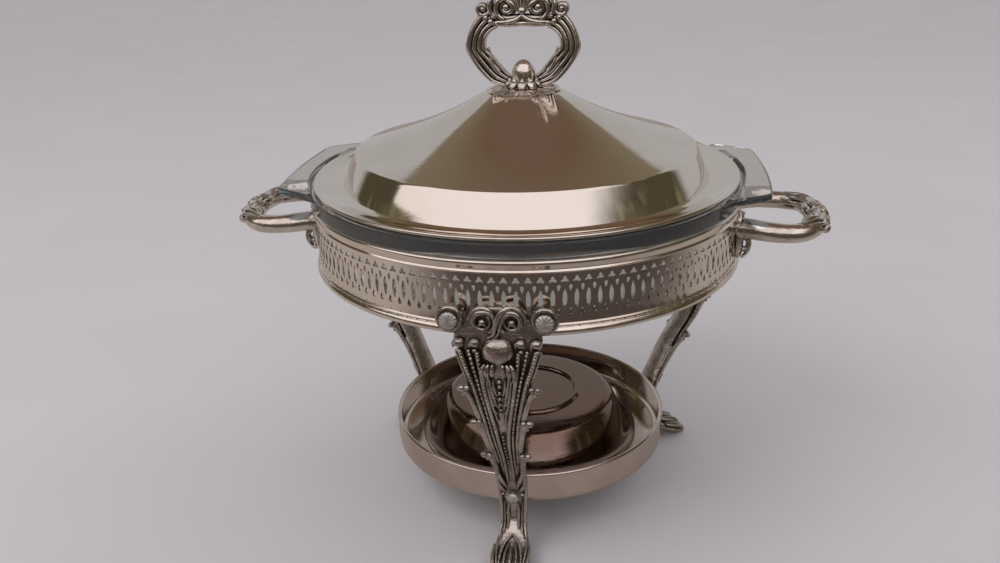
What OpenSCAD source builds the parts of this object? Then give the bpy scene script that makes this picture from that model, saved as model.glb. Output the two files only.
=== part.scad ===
// Round covered warming stand: pierced gallery on three cast legs, burner tray, glass dish, lift-off cover.
// Millimetres. +Z is up, the table is z = 0, the handles lie along X and one leg stands at -Y.

/* [Gallery] */
// Outer radius of the gallery wall
gallery_r = 115; // [100:0.5:135]
// Height of the gallery's lower edge above the table
gallery_z = 143; // [120:0.5:172]
// Height of the gallery from edge to edge
gallery_h = 37; // [30:0.5:50]
// Thickness of the gallery wall
gallery_t = 1; // [0.8:0.1:2]
// Radius of the rolled bead on the lower edge
low_bead_r = 2.1; // [1.5:0.1:3]
// Radius of the rolled bead on the upper edge
top_bead_r = 1.8; // [1.5:0.1:3]
// Number of slots around the wall
slot_count = 132; // [60:6:150]
// Width of one slot
slot_w = 1.8; // [1:0.1:2.4]
// Height of one slot
slot_h = 9.4; // [4:0.1:14]
// Height of the slots' centres above the lower edge
slot_z = 18.4; // [12:0.1:26]

/* [Legs] */
// Number of legs
leg_count = 3; // [3:1:4]
// Width of a leg at its rivet sockets
leg_top_w = 54; // [40:0.5:60]
// Width of a leg where it meets the tray
leg_waist_w = 15; // [10:0.1:20]
// Width of the foot
foot_w = 21; // [12:0.5:26]
// How far the toe reaches past the tray
foot_reach = 30; // [20:0.5:40]
// Thickness of the cast leg
leg_t = 4.8; // [3.5:0.1:8]
// Height of the sockets' centres above the gallery's lower edge
socket_z = 10.3; // [6:0.1:12]
// Radius of a rivet socket
socket_r = 5.3; // [4:0.1:7]
// Radius of the scrolls between the sockets
scroll_r = 5.8; // [4:0.1:7]
// Distance between the scrolls' centres
scroll_gap = 13; // [11:0.1:16]
// Radius of the domed boss under the scrolls
boss_r = 6.5; // [4:0.1:9]

/* [Tray] */
// Outer radius of the burner tray
tray_r = 79.4; // [70:0.2:95]
// Height of the tray's lower edge above the table
tray_z = 27; // [20:0.5:40]
// Height of the tray's wall
tray_h = 18; // [14:0.5:24]
// Thickness of the tray's metal
tray_t = 1.2; // [1:0.1:2]
// Radius of the raised middle
plateau_r = 49; // [40:0.5:56]
// Height of the raised middle above the tray's lower edge
plateau_h = 26; // [20:0.5:34]
// Inner radius of the ring that holds a burner
ring_r = 27; // [20:0.5:36]
// Height of that ring
ring_h = 1.6; // [1:0.1:4]
// Width of that ring
ring_w = 2.4; // [1:0.1:4]

/* [Dish] */
// How far the glass rim reaches past the gallery wall
dish_overhang = 2; // [1.8:0.1:5]
// Gap between the glass body and the gallery
dish_gap = 4.7; // [3.5:0.1:8]
// Outer radius of the glass base
dish_base_r = 84; // [70:0.5:100]
// Depth of the glass below its rim
dish_depth = 51; // [40:0.5:65]
// Height of the glass rim
dish_rim_h = 7.7; // [6:0.1:10]
// Thickness of the glass
dish_t = 4.5; // [3.5:0.1:6]
// How far a tab reaches past the glass rim
tab_out = 11.5; // [6:0.5:18]
// Half the length of a tab's outer edge
tab_half = 46.5; // [35:0.5:52]
// Thickness of a tab
tab_t = 4.2; // [3.6:0.1:6]

/* [Cover] */
// How far the cover's rim stays inside the glass rim
cover_inset = 2.3; // [1.5:0.1:3]
// Thickness of the cover's metal
cover_t = 1; // [0.8:0.1:1.6]
// Distance from the cover's rim in to its ridge
ridge_in = 23.2; // [18:0.1:30]
// Height of the ridge above the cover's seat
ridge_h = 15.5; // [10:0.1:24]
// Radius of the flat top
cap_r = 20.5; // [18:0.5:28]
// Height of the flat top above the cover's seat
cap_h = 44.3; // [34:0.1:60]
// Radius of the cover's rolled edge
edge_r = 1; // [0.8:0.1:1.4]

/* [Finial] */
// Width of the finial loop
loop_w = 60; // [48:0.5:70]
// Height of the finial above the flat top
loop_h = 56.4; // [46:0.1:70]
// Thickness of the finial loop
loop_t = 8; // [6:0.1:12]
// Radius of the leaf plate under the finial
leaf_r = 19.5; // [14:0.5:20]
// Thickness of that plate
leaf_t = 2.2; // [1.5:0.1:4]
// Radius of the bud
bud_r = 6; // [4:0.1:8]
// Radius of the finial's screw
screw_r = 2.5; // [2:0.1:3]

/* [Handles] */
// Reach of a handle past the gallery wall
handle_out = 47.5; // [38:0.5:60]
// Distance between the two arms where they leave the gallery
arm_gap = 46; // [36:0.5:56]
// How far each arm bows outwards past that
arm_bow = 6.5; // [0:0.5:8]
// Radius of an arm
arm_r = 5; // [3:0.1:5.2]
// Height of the arms above the gallery's lower edge
arm_z = 22.5; // [16:0.5:24]
// Gap between a handle's plate and the rolled edges above and below it
lug_margin = 2; // [1:0.1:4]
// Width of that plate
lug_w = 9; // [6:0.1:12]

/* [Rivets and fits] */
// Radius of a rivet's shank
rivet_r = 1.6; // [1.2:0.1:2.2]
// Radius of a rivet's head
rivet_head_r = 3.8; // [2.8:0.1:4.4]
// Height of a rivet's head
rivet_head_h = 1.4; // [0.8:0.1:2]
// Gap between fixed pieces
fit = 0.04; // [0.02:0.01:0.1]
// Gap between pieces that lift apart
seat_gap = 0.3; // [0.2:0.05:0.6]

/* [Hidden] */
$fn = 96;
eps = 0.01;

wall_mid = gallery_r - gallery_t / 2;
gallery_top = gallery_z + gallery_h;
low_mid = gallery_z + low_bead_r;
top_mid = gallery_top - top_bead_r;
leg_back = wall_mid + low_bead_r + fit;
leg_face = leg_back + leg_t;
tray_back = tray_r + fit;
socket_at = leg_top_w / 2 - socket_r;
rivet_z = gallery_z + socket_z;
tray_rivet_z = tray_z + 3 + rivet_head_r - 0.3;
dish_body_r = gallery_r - dish_gap;
dish_rim_r = gallery_r + dish_overhang;
tab_reach = dish_rim_r + tab_out;
cover_r = dish_rim_r - cover_inset;
ridge_r = cover_r - ridge_in;
rim_low = gallery_top + seat_gap;
rim_top = rim_low + dish_rim_h;
seat_z = rim_top + seat_gap;
cap_z = seat_z + cap_h;
ridge_z = seat_z + ridge_h;
leaf_top = cap_z + fit + leaf_t;
loop_base = leaf_top + fit;
hub_top = loop_base + 5;
plateau_z = tray_z + plateau_h;
arm_at = arm_gap / 2;
arm_out = arm_at + arm_bow;
arm_height = gallery_z + arm_z;
handle_reach = gallery_r + handle_out;
lug_low = gallery_z + 2 * low_bead_r + lug_margin;
lug_high = gallery_top - 2 * top_bead_r - lug_margin;
lug_rivet_z = lug_low + rivet_head_r + 1;
lug_t = 5;
bend_r = 12;
lug_wall = sqrt(gallery_r * gallery_r - arm_at * arm_at);
bow_run = 16;
bow_angle = atan(arm_bow / bow_run);

// Point between the tray's side and the gallery's side of a leg.
// a = 0 at the tray wall, 1 at the gallery; b = 0 at the table, 1 at the gallery's lower edge.
function leg_point(a, b) = [tray_back + a * (leg_back - tray_back), b * gallery_z];
function mirrored(half) = concat(half, [for (i = [len(half) - 1 : -1 : 0]) [-half[i][0], half[i][1]]]);

module bead(ring, z, r) {
    translate([0, 0, z])
        rotate_extrude()
            translate([ring, 0])
                circle(r = r);
}

module ring_wall(inner, outer, low, high) {
    translate([0, 0, low])
        difference() {
            cylinder(r = outer, h = high - low);
            translate([0, 0, -1])
                cylinder(r = inner, h = high - low + 2);
        }
}

module slot_cutter() {
    translate([gallery_r - gallery_t - 2, 0, gallery_z + slot_z])
        rotate([90, 0, 90])
            linear_extrude(gallery_t + 4)
                polygon([
                    [0, -slot_h / 2], [slot_w / 2, -slot_h / 6], [slot_w / 2, slot_h / 6],
                    [0, slot_h / 2], [-slot_w / 2, slot_h / 6], [-slot_w / 2, -slot_h / 6]
                ]);
}

// The pierced wall that holds the dish
module gallery_band() {
    color([0.72, 0.69, 0.64])
        difference() {
            ring_wall(gallery_r - gallery_t, gallery_r, gallery_z + low_bead_r, gallery_top - top_bead_r);
            for (i = [0 : slot_count - 1])
                rotate([0, 0, (i + 0.5) * 360 / slot_count])
                    slot_cutter();
            for (k = [0 : leg_count - 1])
                rotate([0, 0, k * 360 / leg_count])
                    socket_holes(fit);
            for (side = [0, 180])
                rotate([0, 0, side])
                    handle_holes(fit);
        }
}

module edge_groove(low, high) {
    ring_wall(gallery_r - gallery_t - fit, gallery_r + fit, low, high);
}

module gallery_low_bead() {
    color([0.78, 0.75, 0.7])
        difference() {
            bead(wall_mid, low_mid, low_bead_r);
            edge_groove(low_mid - fit, low_mid + low_bead_r + 1);
        }
}

module gallery_top_bead() {
    color([0.78, 0.75, 0.7])
        difference() {
            bead(wall_mid, top_mid, top_bead_r);
            edge_groove(top_mid - top_bead_r - 1, top_mid + fit);
        }
}

// Legs are drawn at -Y and turned to their places.
module leg_side() {
    outer = [
        [leg_face, rivet_z + 8], [leg_face, gallery_z], [leg_face - 0.6, gallery_z * 0.9],
        [leg_face - 2.2, gallery_z * 0.79], [leg_face - 5.6, gallery_z * 0.685],
        leg_point(0.79, 0.588) + [leg_t - 1, 0], leg_point(0.57, 0.503) + [leg_t - 1, 0],
        leg_point(0.39, 0.426) + [leg_t - 1, 0], leg_point(0.25, 0.35) + [leg_t - 1, 0],
        leg_point(0.07, 0.287) + [leg_t, 0], leg_point(0, 0.23) + [leg_t, 0],
        leg_point(0.01, 0.175) + [leg_t, 0], [tray_back + foot_reach * 0.27, gallery_z * 0.122],
        [tray_back + foot_reach * 0.47, gallery_z * 0.08], [tray_back + foot_reach * 0.74, gallery_z * 0.062],
        [tray_back + foot_reach * 0.94, gallery_z * 0.05], [tray_back + foot_reach, gallery_z * 0.026],
        [tray_back + foot_reach, 0]
    ];
    inner = [
        [tray_back + foot_reach * 0.55, 0], [tray_back + foot_reach * 0.36, gallery_z * 0.02],
        [tray_back + foot_reach * 0.13, gallery_z * 0.065], [tray_back + foot_reach * 0.02, gallery_z * 0.12],
        leg_point(0, 0.17), leg_point(0, 0.33), leg_point(0.09, 0.385), leg_point(0.27, 0.46),
        leg_point(0.47, 0.54), leg_point(0.67, 0.625), leg_point(0.81, 0.7), leg_point(0.9, 0.785),
        leg_point(0.955, 0.88), leg_point(1, 0.955), [leg_back, rivet_z + 8]
    ];
    polygon(concat(outer, inner));
}

module leg_front_outline() {
    w = leg_waist_w / 2;
    s = (leg_top_w / 2 - w) / 20.7;
    half = [
        [0, rivet_z + 7], [scroll_gap / 2, rivet_z + 7], [socket_at, rivet_z + 3],
        [socket_at + 2, rivet_z - 2], [w + 12.5 * s, gallery_z * 0.965], [w + 10.5 * s, gallery_z * 0.91],
        [w + 10.8 * s, gallery_z * 0.84], [w + 7 * s, gallery_z * 0.79], [w + 6.6 * s, gallery_z * 0.72],
        [w + 3.6 * s, gallery_z * 0.66], [w + 3 * s, gallery_z * 0.53], [w + 1 * s, gallery_z * 0.45],
        [w, gallery_z * 0.36], [w, gallery_z * 0.2], [w + 0.6, gallery_z * 0.14],
        [foot_w / 2, gallery_z * 0.07], [foot_w / 2, gallery_z * 0.02], [foot_w / 2 - 1.4, 0]
    ];
    polygon(mirrored(half));
}

module socket_holes(gap) {
    for (x = [-socket_at, socket_at])
        translate([x, -leg_face - 3, rivet_z])
            rotate([-90, 0, 0])
                cylinder(r = rivet_r + gap, h = 16);
}

module tray_hole(gap) {
    translate([0, -leg_face, tray_rivet_z])
        rotate([-90, 0, 0])
            cylinder(r = rivet_r + gap, h = leg_face - tray_r + 8);
}

module disc_out(x, z, r, reach) {
    translate([x, -leg_face - reach, z])
        rotate([-90, 0, 0])
            cylinder(r = r, h = reach + leg_t - 0.6);
}

module leg() {
    difference() {
        union() {
            intersection() {
                rotate([90, 0, -90])
                    linear_extrude(leg_top_w + 2, center = true)
                        leg_side();
                translate([0, eps, 0])
                    rotate([90, 0, 0])
                        linear_extrude(leg_face + 40)
                            leg_front_outline();
            }
            for (x = [-socket_at, socket_at])
                disc_out(x, rivet_z, socket_r, 0.8);
            for (x = [-scroll_gap / 2, scroll_gap / 2])
                disc_out(x, rivet_z + 1.5, scroll_r, 1.2);
            translate([0, -leg_face + 1.5, gallery_z * 0.9])
                sphere(r = boss_r);
            translate([0, -tray_back - leg_t, tray_rivet_z])
                rotate([-90, 0, 0])
                    cylinder(r = rivet_head_r + 1, h = leg_t);
        }
        translate([0, -tray_back - leg_t - 20, tray_rivet_z])
            rotate([-90, 0, 0])
                cylinder(r = rivet_head_r + 0.3, h = 20);
        socket_holes(fit);
        tray_hole(fit);
        translate([0, 0, gallery_z * 0.8])
            cylinder(r = gallery_r - 10, h = gallery_h * 2);
        translate([0, 0, gallery_z - 1])
            cylinder(r = leg_back, h = gallery_h * 2);
    }
}

module leg_front() {
    color([0.5, 0.47, 0.43])
        leg();
}

module leg_rear_right() {
    color([0.5, 0.47, 0.43])
        rotate([0, 0, 120])
            leg();
}

module leg_rear_left() {
    color([0.5, 0.47, 0.43])
        rotate([0, 0, 240])
            leg();
}

module rivet_along(length) {
    cylinder(r = rivet_r, h = length);
    translate([0, 0, -rivet_head_h])
        cylinder(r1 = rivet_head_r - 1, r2 = rivet_head_r, h = rivet_head_h);
    translate([0, 0, length])
        cylinder(r = rivet_head_r - 0.8, h = 0.9);
}

module socket_rivets() {
    grip = leg_face + 0.8 + fit - sqrt((gallery_r - gallery_t) * (gallery_r - gallery_t) - pow(socket_at + rivet_head_r, 2));
    for (x = [-socket_at, socket_at])
        translate([x, -leg_face - 0.8 - fit, rivet_z])
            rotate([-90, 0, 0])
                rivet_along(grip + fit);
}

module socket_rivets_front() {
    color([0.8, 0.8, 0.78])
        socket_rivets();
}

module socket_rivets_rear_right() {
    color([0.8, 0.8, 0.78])
        rotate([0, 0, 120])
            socket_rivets();
}

module socket_rivets_rear_left() {
    color([0.8, 0.8, 0.78])
        rotate([0, 0, 240])
            socket_rivets();
}

module tray_rivet() {
    face = tray_back + leg_t + fit;
    grip = face - sqrt((tray_r - tray_t) * (tray_r - tray_t) - rivet_head_r * rivet_head_r) + fit;
    translate([0, -face, tray_rivet_z])
        rotate([-90, 0, 0])
            rivet_along(grip);
}

module tray_rivet_front() {
    color([0.8, 0.8, 0.78])
        tray_rivet();
}

module tray_rivet_rear_right() {
    color([0.8, 0.8, 0.78])
        rotate([0, 0, 120])
            tray_rivet();
}

module tray_rivet_rear_left() {
    color([0.8, 0.8, 0.78])
        rotate([0, 0, 240])
            tray_rivet();
}

// The tray is one sheet: wall, channel and raised middle.
module burner_tray() {
    channel_r = plateau_r + (tray_r - plateau_r) * 0.42;
    channel_out = tray_r - 3;
    color([0.66, 0.6, 0.57])
        difference() {
            rotate_extrude()
                polygon([
                    [0, plateau_z], [plateau_r - 3, plateau_z], [plateau_r, plateau_z - 1.2],
                    [channel_r, tray_z + tray_t + 1], [channel_r + 2.5, tray_z + tray_t],
                    [channel_out, tray_z + tray_t], [tray_r - tray_t, tray_z + 3],
                    [tray_r - tray_t, tray_z + tray_h - 1], [tray_r - tray_t * 2, tray_z + tray_h],
                    [tray_r, tray_z + tray_h], [tray_r, tray_z + 2], [channel_out + 1.2, tray_z],
                    [channel_r + 2, tray_z], [channel_r - tray_t, tray_z + 1],
                    [plateau_r - 1.6, plateau_z - tray_t - 1.4], [plateau_r - 3.4, plateau_z - tray_t],
                    [0, plateau_z - tray_t]
                ]);
            for (k = [0 : leg_count - 1])
                rotate([0, 0, k * 360 / leg_count])
                    tray_hole(fit);
        }
}

module burner_ring() {
    color([0.74, 0.68, 0.64])
        ring_wall(ring_r, ring_r + ring_w, plateau_z + fit, plateau_z + fit + ring_h);
}

// Handles are drawn at +X.
module handle_holes(gap) {
    for (y = [-arm_at, arm_at])
        translate([lug_wall - 6, y, lug_rivet_z])
            rotate([0, 90, 0])
                cylinder(r = rivet_r + gap, h = 16);
}

module arm_bend(side) {
    translate([handle_reach - 7 - bend_r, side * (arm_out - bend_r), arm_height])
        rotate([0, 0, side > 0 ? 0 : -90])
            rotate_extrude(angle = 90, $fn = 72)
                translate([bend_r, 0])
                    circle(r = arm_r, $fn = 36);
}

module handle() {
    bar_x = handle_reach - 7;
    difference() {
        union() {
            for (side = [-1, 1]) {
                translate([lug_wall + bow_run, side * arm_out, arm_height]) {
                    sphere(r = arm_r, $fn = 36);
                    rotate([0, 90, 0])
                        cylinder(r = arm_r, h = bar_x - bend_r - lug_wall - bow_run, $fn = 36);
                    rotate([0, 90, 180 + side * bow_angle])
                        cylinder(r = arm_r, h = bow_run / cos(bow_angle) + 4, $fn = 36);
                }
                arm_bend(side);
                translate([lug_wall - 2, side * arm_at - lug_w / 2, lug_low])
                    cube([lug_t + 2, lug_w, lug_high - lug_low]);
                translate([bar_x, side * 7.5, arm_height - 4.5])
                    cylinder(r = 5.3, h = 9);
            }
            translate([bar_x, -(arm_out - bend_r), arm_height])
                rotate([-90, 0, 0])
                    cylinder(r = arm_r, h = 2 * (arm_out - bend_r), $fn = 36);
            translate([bar_x + 1.6, 0, arm_height])
                sphere(r = 5.4, $fn = 40);
        }
        cylinder(r = gallery_r + fit, h = gallery_top + 40);
        handle_holes(fit);
    }
}

module handle_right() {
    color([0.55, 0.51, 0.46])
        handle();
}

module handle_left() {
    color([0.55, 0.51, 0.46])
        rotate([0, 0, 180])
            handle();
}

module handle_rivets() {
    face = lug_wall + lug_t + fit;
    grip = face - sqrt((gallery_r - gallery_t) * (gallery_r - gallery_t) - pow(arm_at + rivet_head_r, 2)) + fit;
    for (y = [-arm_at, arm_at])
        translate([face, y, lug_rivet_z])
            rotate([0, -90, 0])
                rivet_along(grip);
}

module handle_rivets_right() {
    color([0.8, 0.8, 0.78])
        handle_rivets();
}

module handle_rivets_left() {
    color([0.8, 0.8, 0.78])
        rotate([0, 0, 180])
            handle_rivets();
}

module dish_tab() {
    end_r = 400;
    difference() {
        translate([0, 0, rim_top + 2.5 - tab_t])
            linear_extrude(tab_t)
                intersection() {
                    translate([tab_reach - end_r, 0])
                        circle(r = end_r);
                    polygon([
                        [dish_rim_r - 30, -tab_half - 19], [dish_rim_r - 16, -tab_half - 15],
                        [tab_reach, -tab_half + 2], [tab_reach, tab_half - 2],
                        [dish_rim_r - 16, tab_half + 15], [dish_rim_r - 30, tab_half + 19]
                    ]);
                }
        translate([0, 0, rim_low])
            cylinder(r = dish_rim_r - 1, h = 20);
    }
}

// One piece of pressed glass: bowl, rim and two tabs
module glass_dish() {
    base_z = rim_low - dish_depth;
    body = dish_body_r;
    lean = body - dish_base_r;
    color([0.75, 0.85, 0.84, 0.4])
        union() {
            rotate_extrude()
                polygon([
                    [0, base_z], [dish_base_r - 3, base_z], [dish_base_r + 1, base_z + 1.5],
                    [dish_base_r + lean * 0.25, base_z + 6], [dish_base_r + lean * 0.84, base_z + dish_depth * 0.8],
                    [body, rim_low], [dish_rim_r, rim_low], [dish_rim_r, rim_top - 0.6],
                    [dish_rim_r - 0.6, rim_top], [dish_rim_r - 5.6, rim_top], [dish_rim_r - 6.8, rim_top - 1],
                    [body - dish_t, rim_low],
                    [dish_base_r + lean * 0.84 - dish_t, base_z + dish_depth * 0.8],
                    [dish_base_r + lean * 0.25 - dish_t, base_z + 9],
                    [dish_base_r - 4, base_z + dish_t], [0, base_z + dish_t]
                ]);
            dish_tab();
            rotate([0, 0, 180])
                dish_tab();
        }
}

module cover_profile(drop) {
    mid = ridge_r - cap_r;
    band_r = ridge_r + (cover_r - ridge_r) * 0.34;
    rise = cap_z - ridge_z;
    top = [
        [0, cap_z], [cap_r, cap_z], [cap_r + 2, cap_z - 0.9], [cap_r + mid * 0.14, ridge_z + rise * 0.83],
        [cap_r + mid * 0.28, ridge_z + rise * 0.64], [cap_r + mid * 0.42, ridge_z + rise * 0.465],
        [cap_r + mid * 0.56, ridge_z + rise * 0.315], [cap_r + mid * 0.7, ridge_z + rise * 0.185],
        [cap_r + mid * 0.85, ridge_z + rise * 0.08], [ridge_r - 0.6, ridge_z], [ridge_r + 0.4, ridge_z - 0.9],
        [band_r, seat_z - 0.9], [band_r + 4, seat_z - 1.2], [cover_r - 7, seat_z - 0.1],
        [cover_r - 4.2, seat_z + 1], [cover_r - edge_r * 1.7, seat_z + edge_r + cover_t / 2]
    ];
    under = [for (i = [len(top) - 1 : -1 : 0]) [max(0, top[i][0] - drop[i][0]), top[i][1] - drop[i][1]]];
    polygon(concat(top, under));
}

// The cover's metal keeps its thickness: each lower point is set in from its upper point.
module cover_shell() {
    t = cover_t;
    drop = [
        [0, t], [0.3 * t, t], [0.5 * t, t], [0.6 * t, t], [0.55 * t, t], [0.5 * t, t], [0.45 * t, t], [0.35 * t, t],
        [0.3 * t, t], [0.5 * t, t], [t, 0.8 * t], [t, t], [0.2 * t, t], [-0.2 * t, t], [-0.3 * t, t], [0, t]
    ];
    color([0.8, 0.77, 0.72])
        difference() {
            rotate_extrude()
                cover_profile(drop);
            bead(cover_r - edge_r, seat_z + edge_r, edge_r + fit);
            translate([0, 0, cap_z - 10])
                cylinder(r = screw_r + fit, h = 20);
        }
}

module cover_edge() {
    color([0.85, 0.82, 0.78])
        bead(cover_r - edge_r, seat_z + edge_r, edge_r);
}

module finial_leaf() {
    color([0.5, 0.47, 0.43])
        translate([0, 0, cap_z + fit])
            difference() {
                union() {
                    cylinder(r1 = leaf_r, r2 = leaf_r - 1, h = leaf_t);
                    for (a = [0 : 45 : 315])
                        rotate([0, 0, a])
                            translate([leaf_r - 3, 0, 0])
                                cylinder(r = 3, h = leaf_t * 0.7);
                }
                translate([0, 0, -1])
                    cylinder(r = screw_r + fit, h = leaf_t + 2);
            }
}

module finial_loop() {
    half = loop_w / 2;
    rise = cap_z + loop_h - loop_base;
    outer = [
        [0, loop_base], [half * 0.34, loop_base], [half * 0.53, loop_base + rise * 0.03],
        [half * 0.8, loop_base + rise * 0.18], [half * 0.96, loop_base + rise * 0.32],
        [half, loop_base + rise * 0.39], [half * 0.95, loop_base + rise * 0.51],
        [half * 0.83, loop_base + rise * 0.62], [half * 0.78, loop_base + rise * 0.7],
        [half * 0.72, loop_base + rise * 0.8], [half * 0.5, loop_base + rise * 0.9],
        [half * 0.22, loop_base + rise * 0.97], [0, loop_base + rise]
    ];
    inner = [
        [0, loop_base + rise * 0.06], [half * 0.28, loop_base + rise * 0.07],
        [half * 0.45, loop_base + rise * 0.17], [half * 0.6, loop_base + rise * 0.3],
        [half * 0.65, loop_base + rise * 0.395], [half * 0.6, loop_base + rise * 0.48],
        [half * 0.45, loop_base + rise * 0.56], [0, loop_base + rise * 0.575]
    ];
    color([0.55, 0.51, 0.46])
        difference() {
            union() {
                rotate([90, 0, 0])
                    linear_extrude(loop_t, center = true)
                        difference() {
                            polygon(mirrored(outer));
                            polygon(mirrored(inner));
                        }
                translate([0, 0, loop_base])
                    cylinder(r1 = 10, r2 = 8, h = hub_top - loop_base);
            }
            translate([0, 0, loop_base - 1])
                cylinder(r = screw_r + fit, h = hub_top - loop_base + 2);
        }
}

module finial_bud() {
    z = hub_top + fit;
    color([0.6, 0.56, 0.5])
        difference() {
            translate([0, 0, z])
                rotate_extrude()
                    polygon([
                        [0, 0], [bud_r * 0.8, 0], [bud_r, 1.5], [bud_r * 0.97, 4], [bud_r * 0.75, 6.6],
                        [bud_r * 0.4, 8.6], [0, 9.6]
                    ]);
            translate([0, 0, z - 1])
                cylinder(r = screw_r + fit, h = 5);
        }
}

module finial_screw() {
    low = cap_z - cover_t - 7;
    color([0.7, 0.7, 0.68])
        translate([0, 0, low])
            cylinder(r = screw_r, h = hub_top + 3.5 - low);
}

module finial_washer() {
    color([0.7, 0.7, 0.68])
        ring_wall(screw_r + fit, screw_r + 4, cap_z - cover_t - 1.2, cap_z - cover_t - fit);
}

module finial_nut() {
    color([0.7, 0.7, 0.68])
        translate([0, 0, cap_z - cover_t - 5.2])
            difference() {
                cylinder(r = screw_r + 2.4, h = 4 - fit, $fn = 6);
                translate([0, 0, -1])
                    cylinder(r = screw_r + fit, h = 6);
            }
}

gallery_band();
gallery_low_bead();
gallery_top_bead();
leg_front();
leg_rear_right();
leg_rear_left();
socket_rivets_front();
socket_rivets_rear_right();
socket_rivets_rear_left();
tray_rivet_front();
tray_rivet_rear_right();
tray_rivet_rear_left();
burner_tray();
burner_ring();
handle_right();
handle_left();
handle_rivets_right();
handle_rivets_left();
glass_dish();
cover_shell();
cover_edge();
finial_leaf();
finial_loop();
finial_bud();
finial_screw();
finial_washer();
finial_nut();
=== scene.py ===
import math
import bmesh
import bpy
from mathutils import Matrix, Vector


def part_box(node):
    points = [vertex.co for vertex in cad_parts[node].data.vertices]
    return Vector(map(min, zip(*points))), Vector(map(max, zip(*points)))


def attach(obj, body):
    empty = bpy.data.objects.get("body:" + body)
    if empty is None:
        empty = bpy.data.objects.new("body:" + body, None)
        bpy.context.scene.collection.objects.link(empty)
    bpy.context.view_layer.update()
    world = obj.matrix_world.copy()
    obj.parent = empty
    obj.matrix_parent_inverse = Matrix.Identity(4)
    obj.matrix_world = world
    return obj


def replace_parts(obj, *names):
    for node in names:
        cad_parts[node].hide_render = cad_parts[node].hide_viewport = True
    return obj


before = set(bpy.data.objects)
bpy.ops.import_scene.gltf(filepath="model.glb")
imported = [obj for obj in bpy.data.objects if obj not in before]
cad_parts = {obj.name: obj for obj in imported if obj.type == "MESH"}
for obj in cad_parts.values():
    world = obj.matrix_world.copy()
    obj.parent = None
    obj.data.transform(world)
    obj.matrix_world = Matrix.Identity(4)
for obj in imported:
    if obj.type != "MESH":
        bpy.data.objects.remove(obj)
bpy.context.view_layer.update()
mm = 0.001  # everything is drawn in millimetres


def flow(points, steps=5):
    # smooth line through the points, as a list of tuples
    pts = [Vector(p) for p in points]
    line = []
    for i in range(len(pts) - 1):
        a = pts[max(i - 1, 0)]
        b, c = pts[i], pts[i + 1]
        d = pts[min(i + 2, len(pts) - 1)]
        for k in range(steps):
            t = k / steps
            line.append(tuple(0.5 * (2 * b + (c - a) * t + (2 * a - 5 * b + 4 * c - d) * t * t
                                     + (3 * b - a - 3 * c + d) * t ** 3)))
    line.append(tuple(pts[-1]))
    return line


def between(table, x):
    # straight-line reading of a table of (x, value) pairs
    table = sorted(table)
    if x <= table[0][0]:
        return table[0][1]
    for (x0, y0), (x1, y1) in zip(table, table[1:]):
        if x <= x1:
            return y0 + (y1 - y0) * (x - x0) / (x1 - x0)
    return table[-1][1]


def skin(line, thickness):
    # the same line set in by the metal's thickness, walked back to make a closed wall
    inner = []
    for i, (r, z) in enumerate(line):
        a, b = Vector(line[max(i - 1, 0)]), Vector(line[min(i + 1, len(line) - 1)])
        along = (b - a).normalized()
        inner.append((0.0 if r == 0 else max(0.01, r + along.y * thickness), z - along.x * thickness))
    return line + inner[::-1]


def lathe(outline, steps=192, ring=False):
    bm = bmesh.new()
    verts = [bm.verts.new((r * mm, 0, z * mm)) for r, z in outline]
    pairs = list(zip(verts, verts[1:]))
    if ring:
        pairs.append((verts[-1], verts[0]))
    edges = [bm.edges.new(pair) for pair in pairs]
    bmesh.ops.spin(bm, geom=verts + edges, axis=(0, 0, 1), cent=(0, 0, 0),
                   angle=2 * math.pi, steps=steps, use_merge=True)
    bmesh.ops.remove_doubles(bm, verts=bm.verts, dist=1e-7)
    return bm


def addTo(whole, part):
    mesh = bpy.data.meshes.new("part")
    part.to_mesh(mesh)
    part.free()
    whole.from_mesh(mesh)
    bpy.data.meshes.remove(mesh)


def rod(whole, path, sizes, sides=8, facing=(0, -1, 0), domed=True):
    # a rod of changing section: sizes are radii, or (half width, half depth) pairs
    pts = [Vector(p) for p in path]
    pairs = [s if isinstance(s, tuple) else (s, s) for s in sizes]
    stations = []
    for i, p in enumerate(pts):
        along = (pts[min(i + 1, len(pts) - 1)] - pts[max(i - 1, 0)]).normalized()
        stations.append((p, along, pairs[i]))
    if domed:
        p, along, s = stations[0]
        deep = min(s)
        caps = [(p - along * deep * 0.75, along, (s[0] * 0.35, s[1] * 0.35)),
                (p - along * deep * 0.5, along, (s[0] * 0.75, s[1] * 0.75))]
        p, along, s = stations[-1]
        deep = min(s)
        ends = [(p + along * deep * 0.5, along, (s[0] * 0.75, s[1] * 0.75)),
                (p + along * deep * 0.75, along, (s[0] * 0.35, s[1] * 0.35))]
        stations = caps + stations + ends
    bm = bmesh.new()
    lastEdges = None
    for p, along, s in stations:
        out = Vector(facing)
        out = (out - along * out.dot(along)).normalized()
        side = along.cross(out).normalized()
        turn = Matrix((side, out, along)).transposed().to_4x4()
        turn = Matrix.Translation(p * mm) @ turn @ Matrix.Diagonal((s[0] * mm, s[1] * mm, 1, 1))
        ring = bmesh.ops.create_circle(bm, segments=sides, radius=1, matrix=turn)["verts"]
        edges = list({e for v in ring for e in v.link_edges})
        if lastEdges:
            bmesh.ops.bridge_loops(bm, edges=lastEdges + edges)
        lastEdges = edges
    bmesh.ops.holes_fill(bm, edges=[e for e in bm.edges if e.is_boundary], sides=0)
    addTo(whole, bm)


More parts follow.
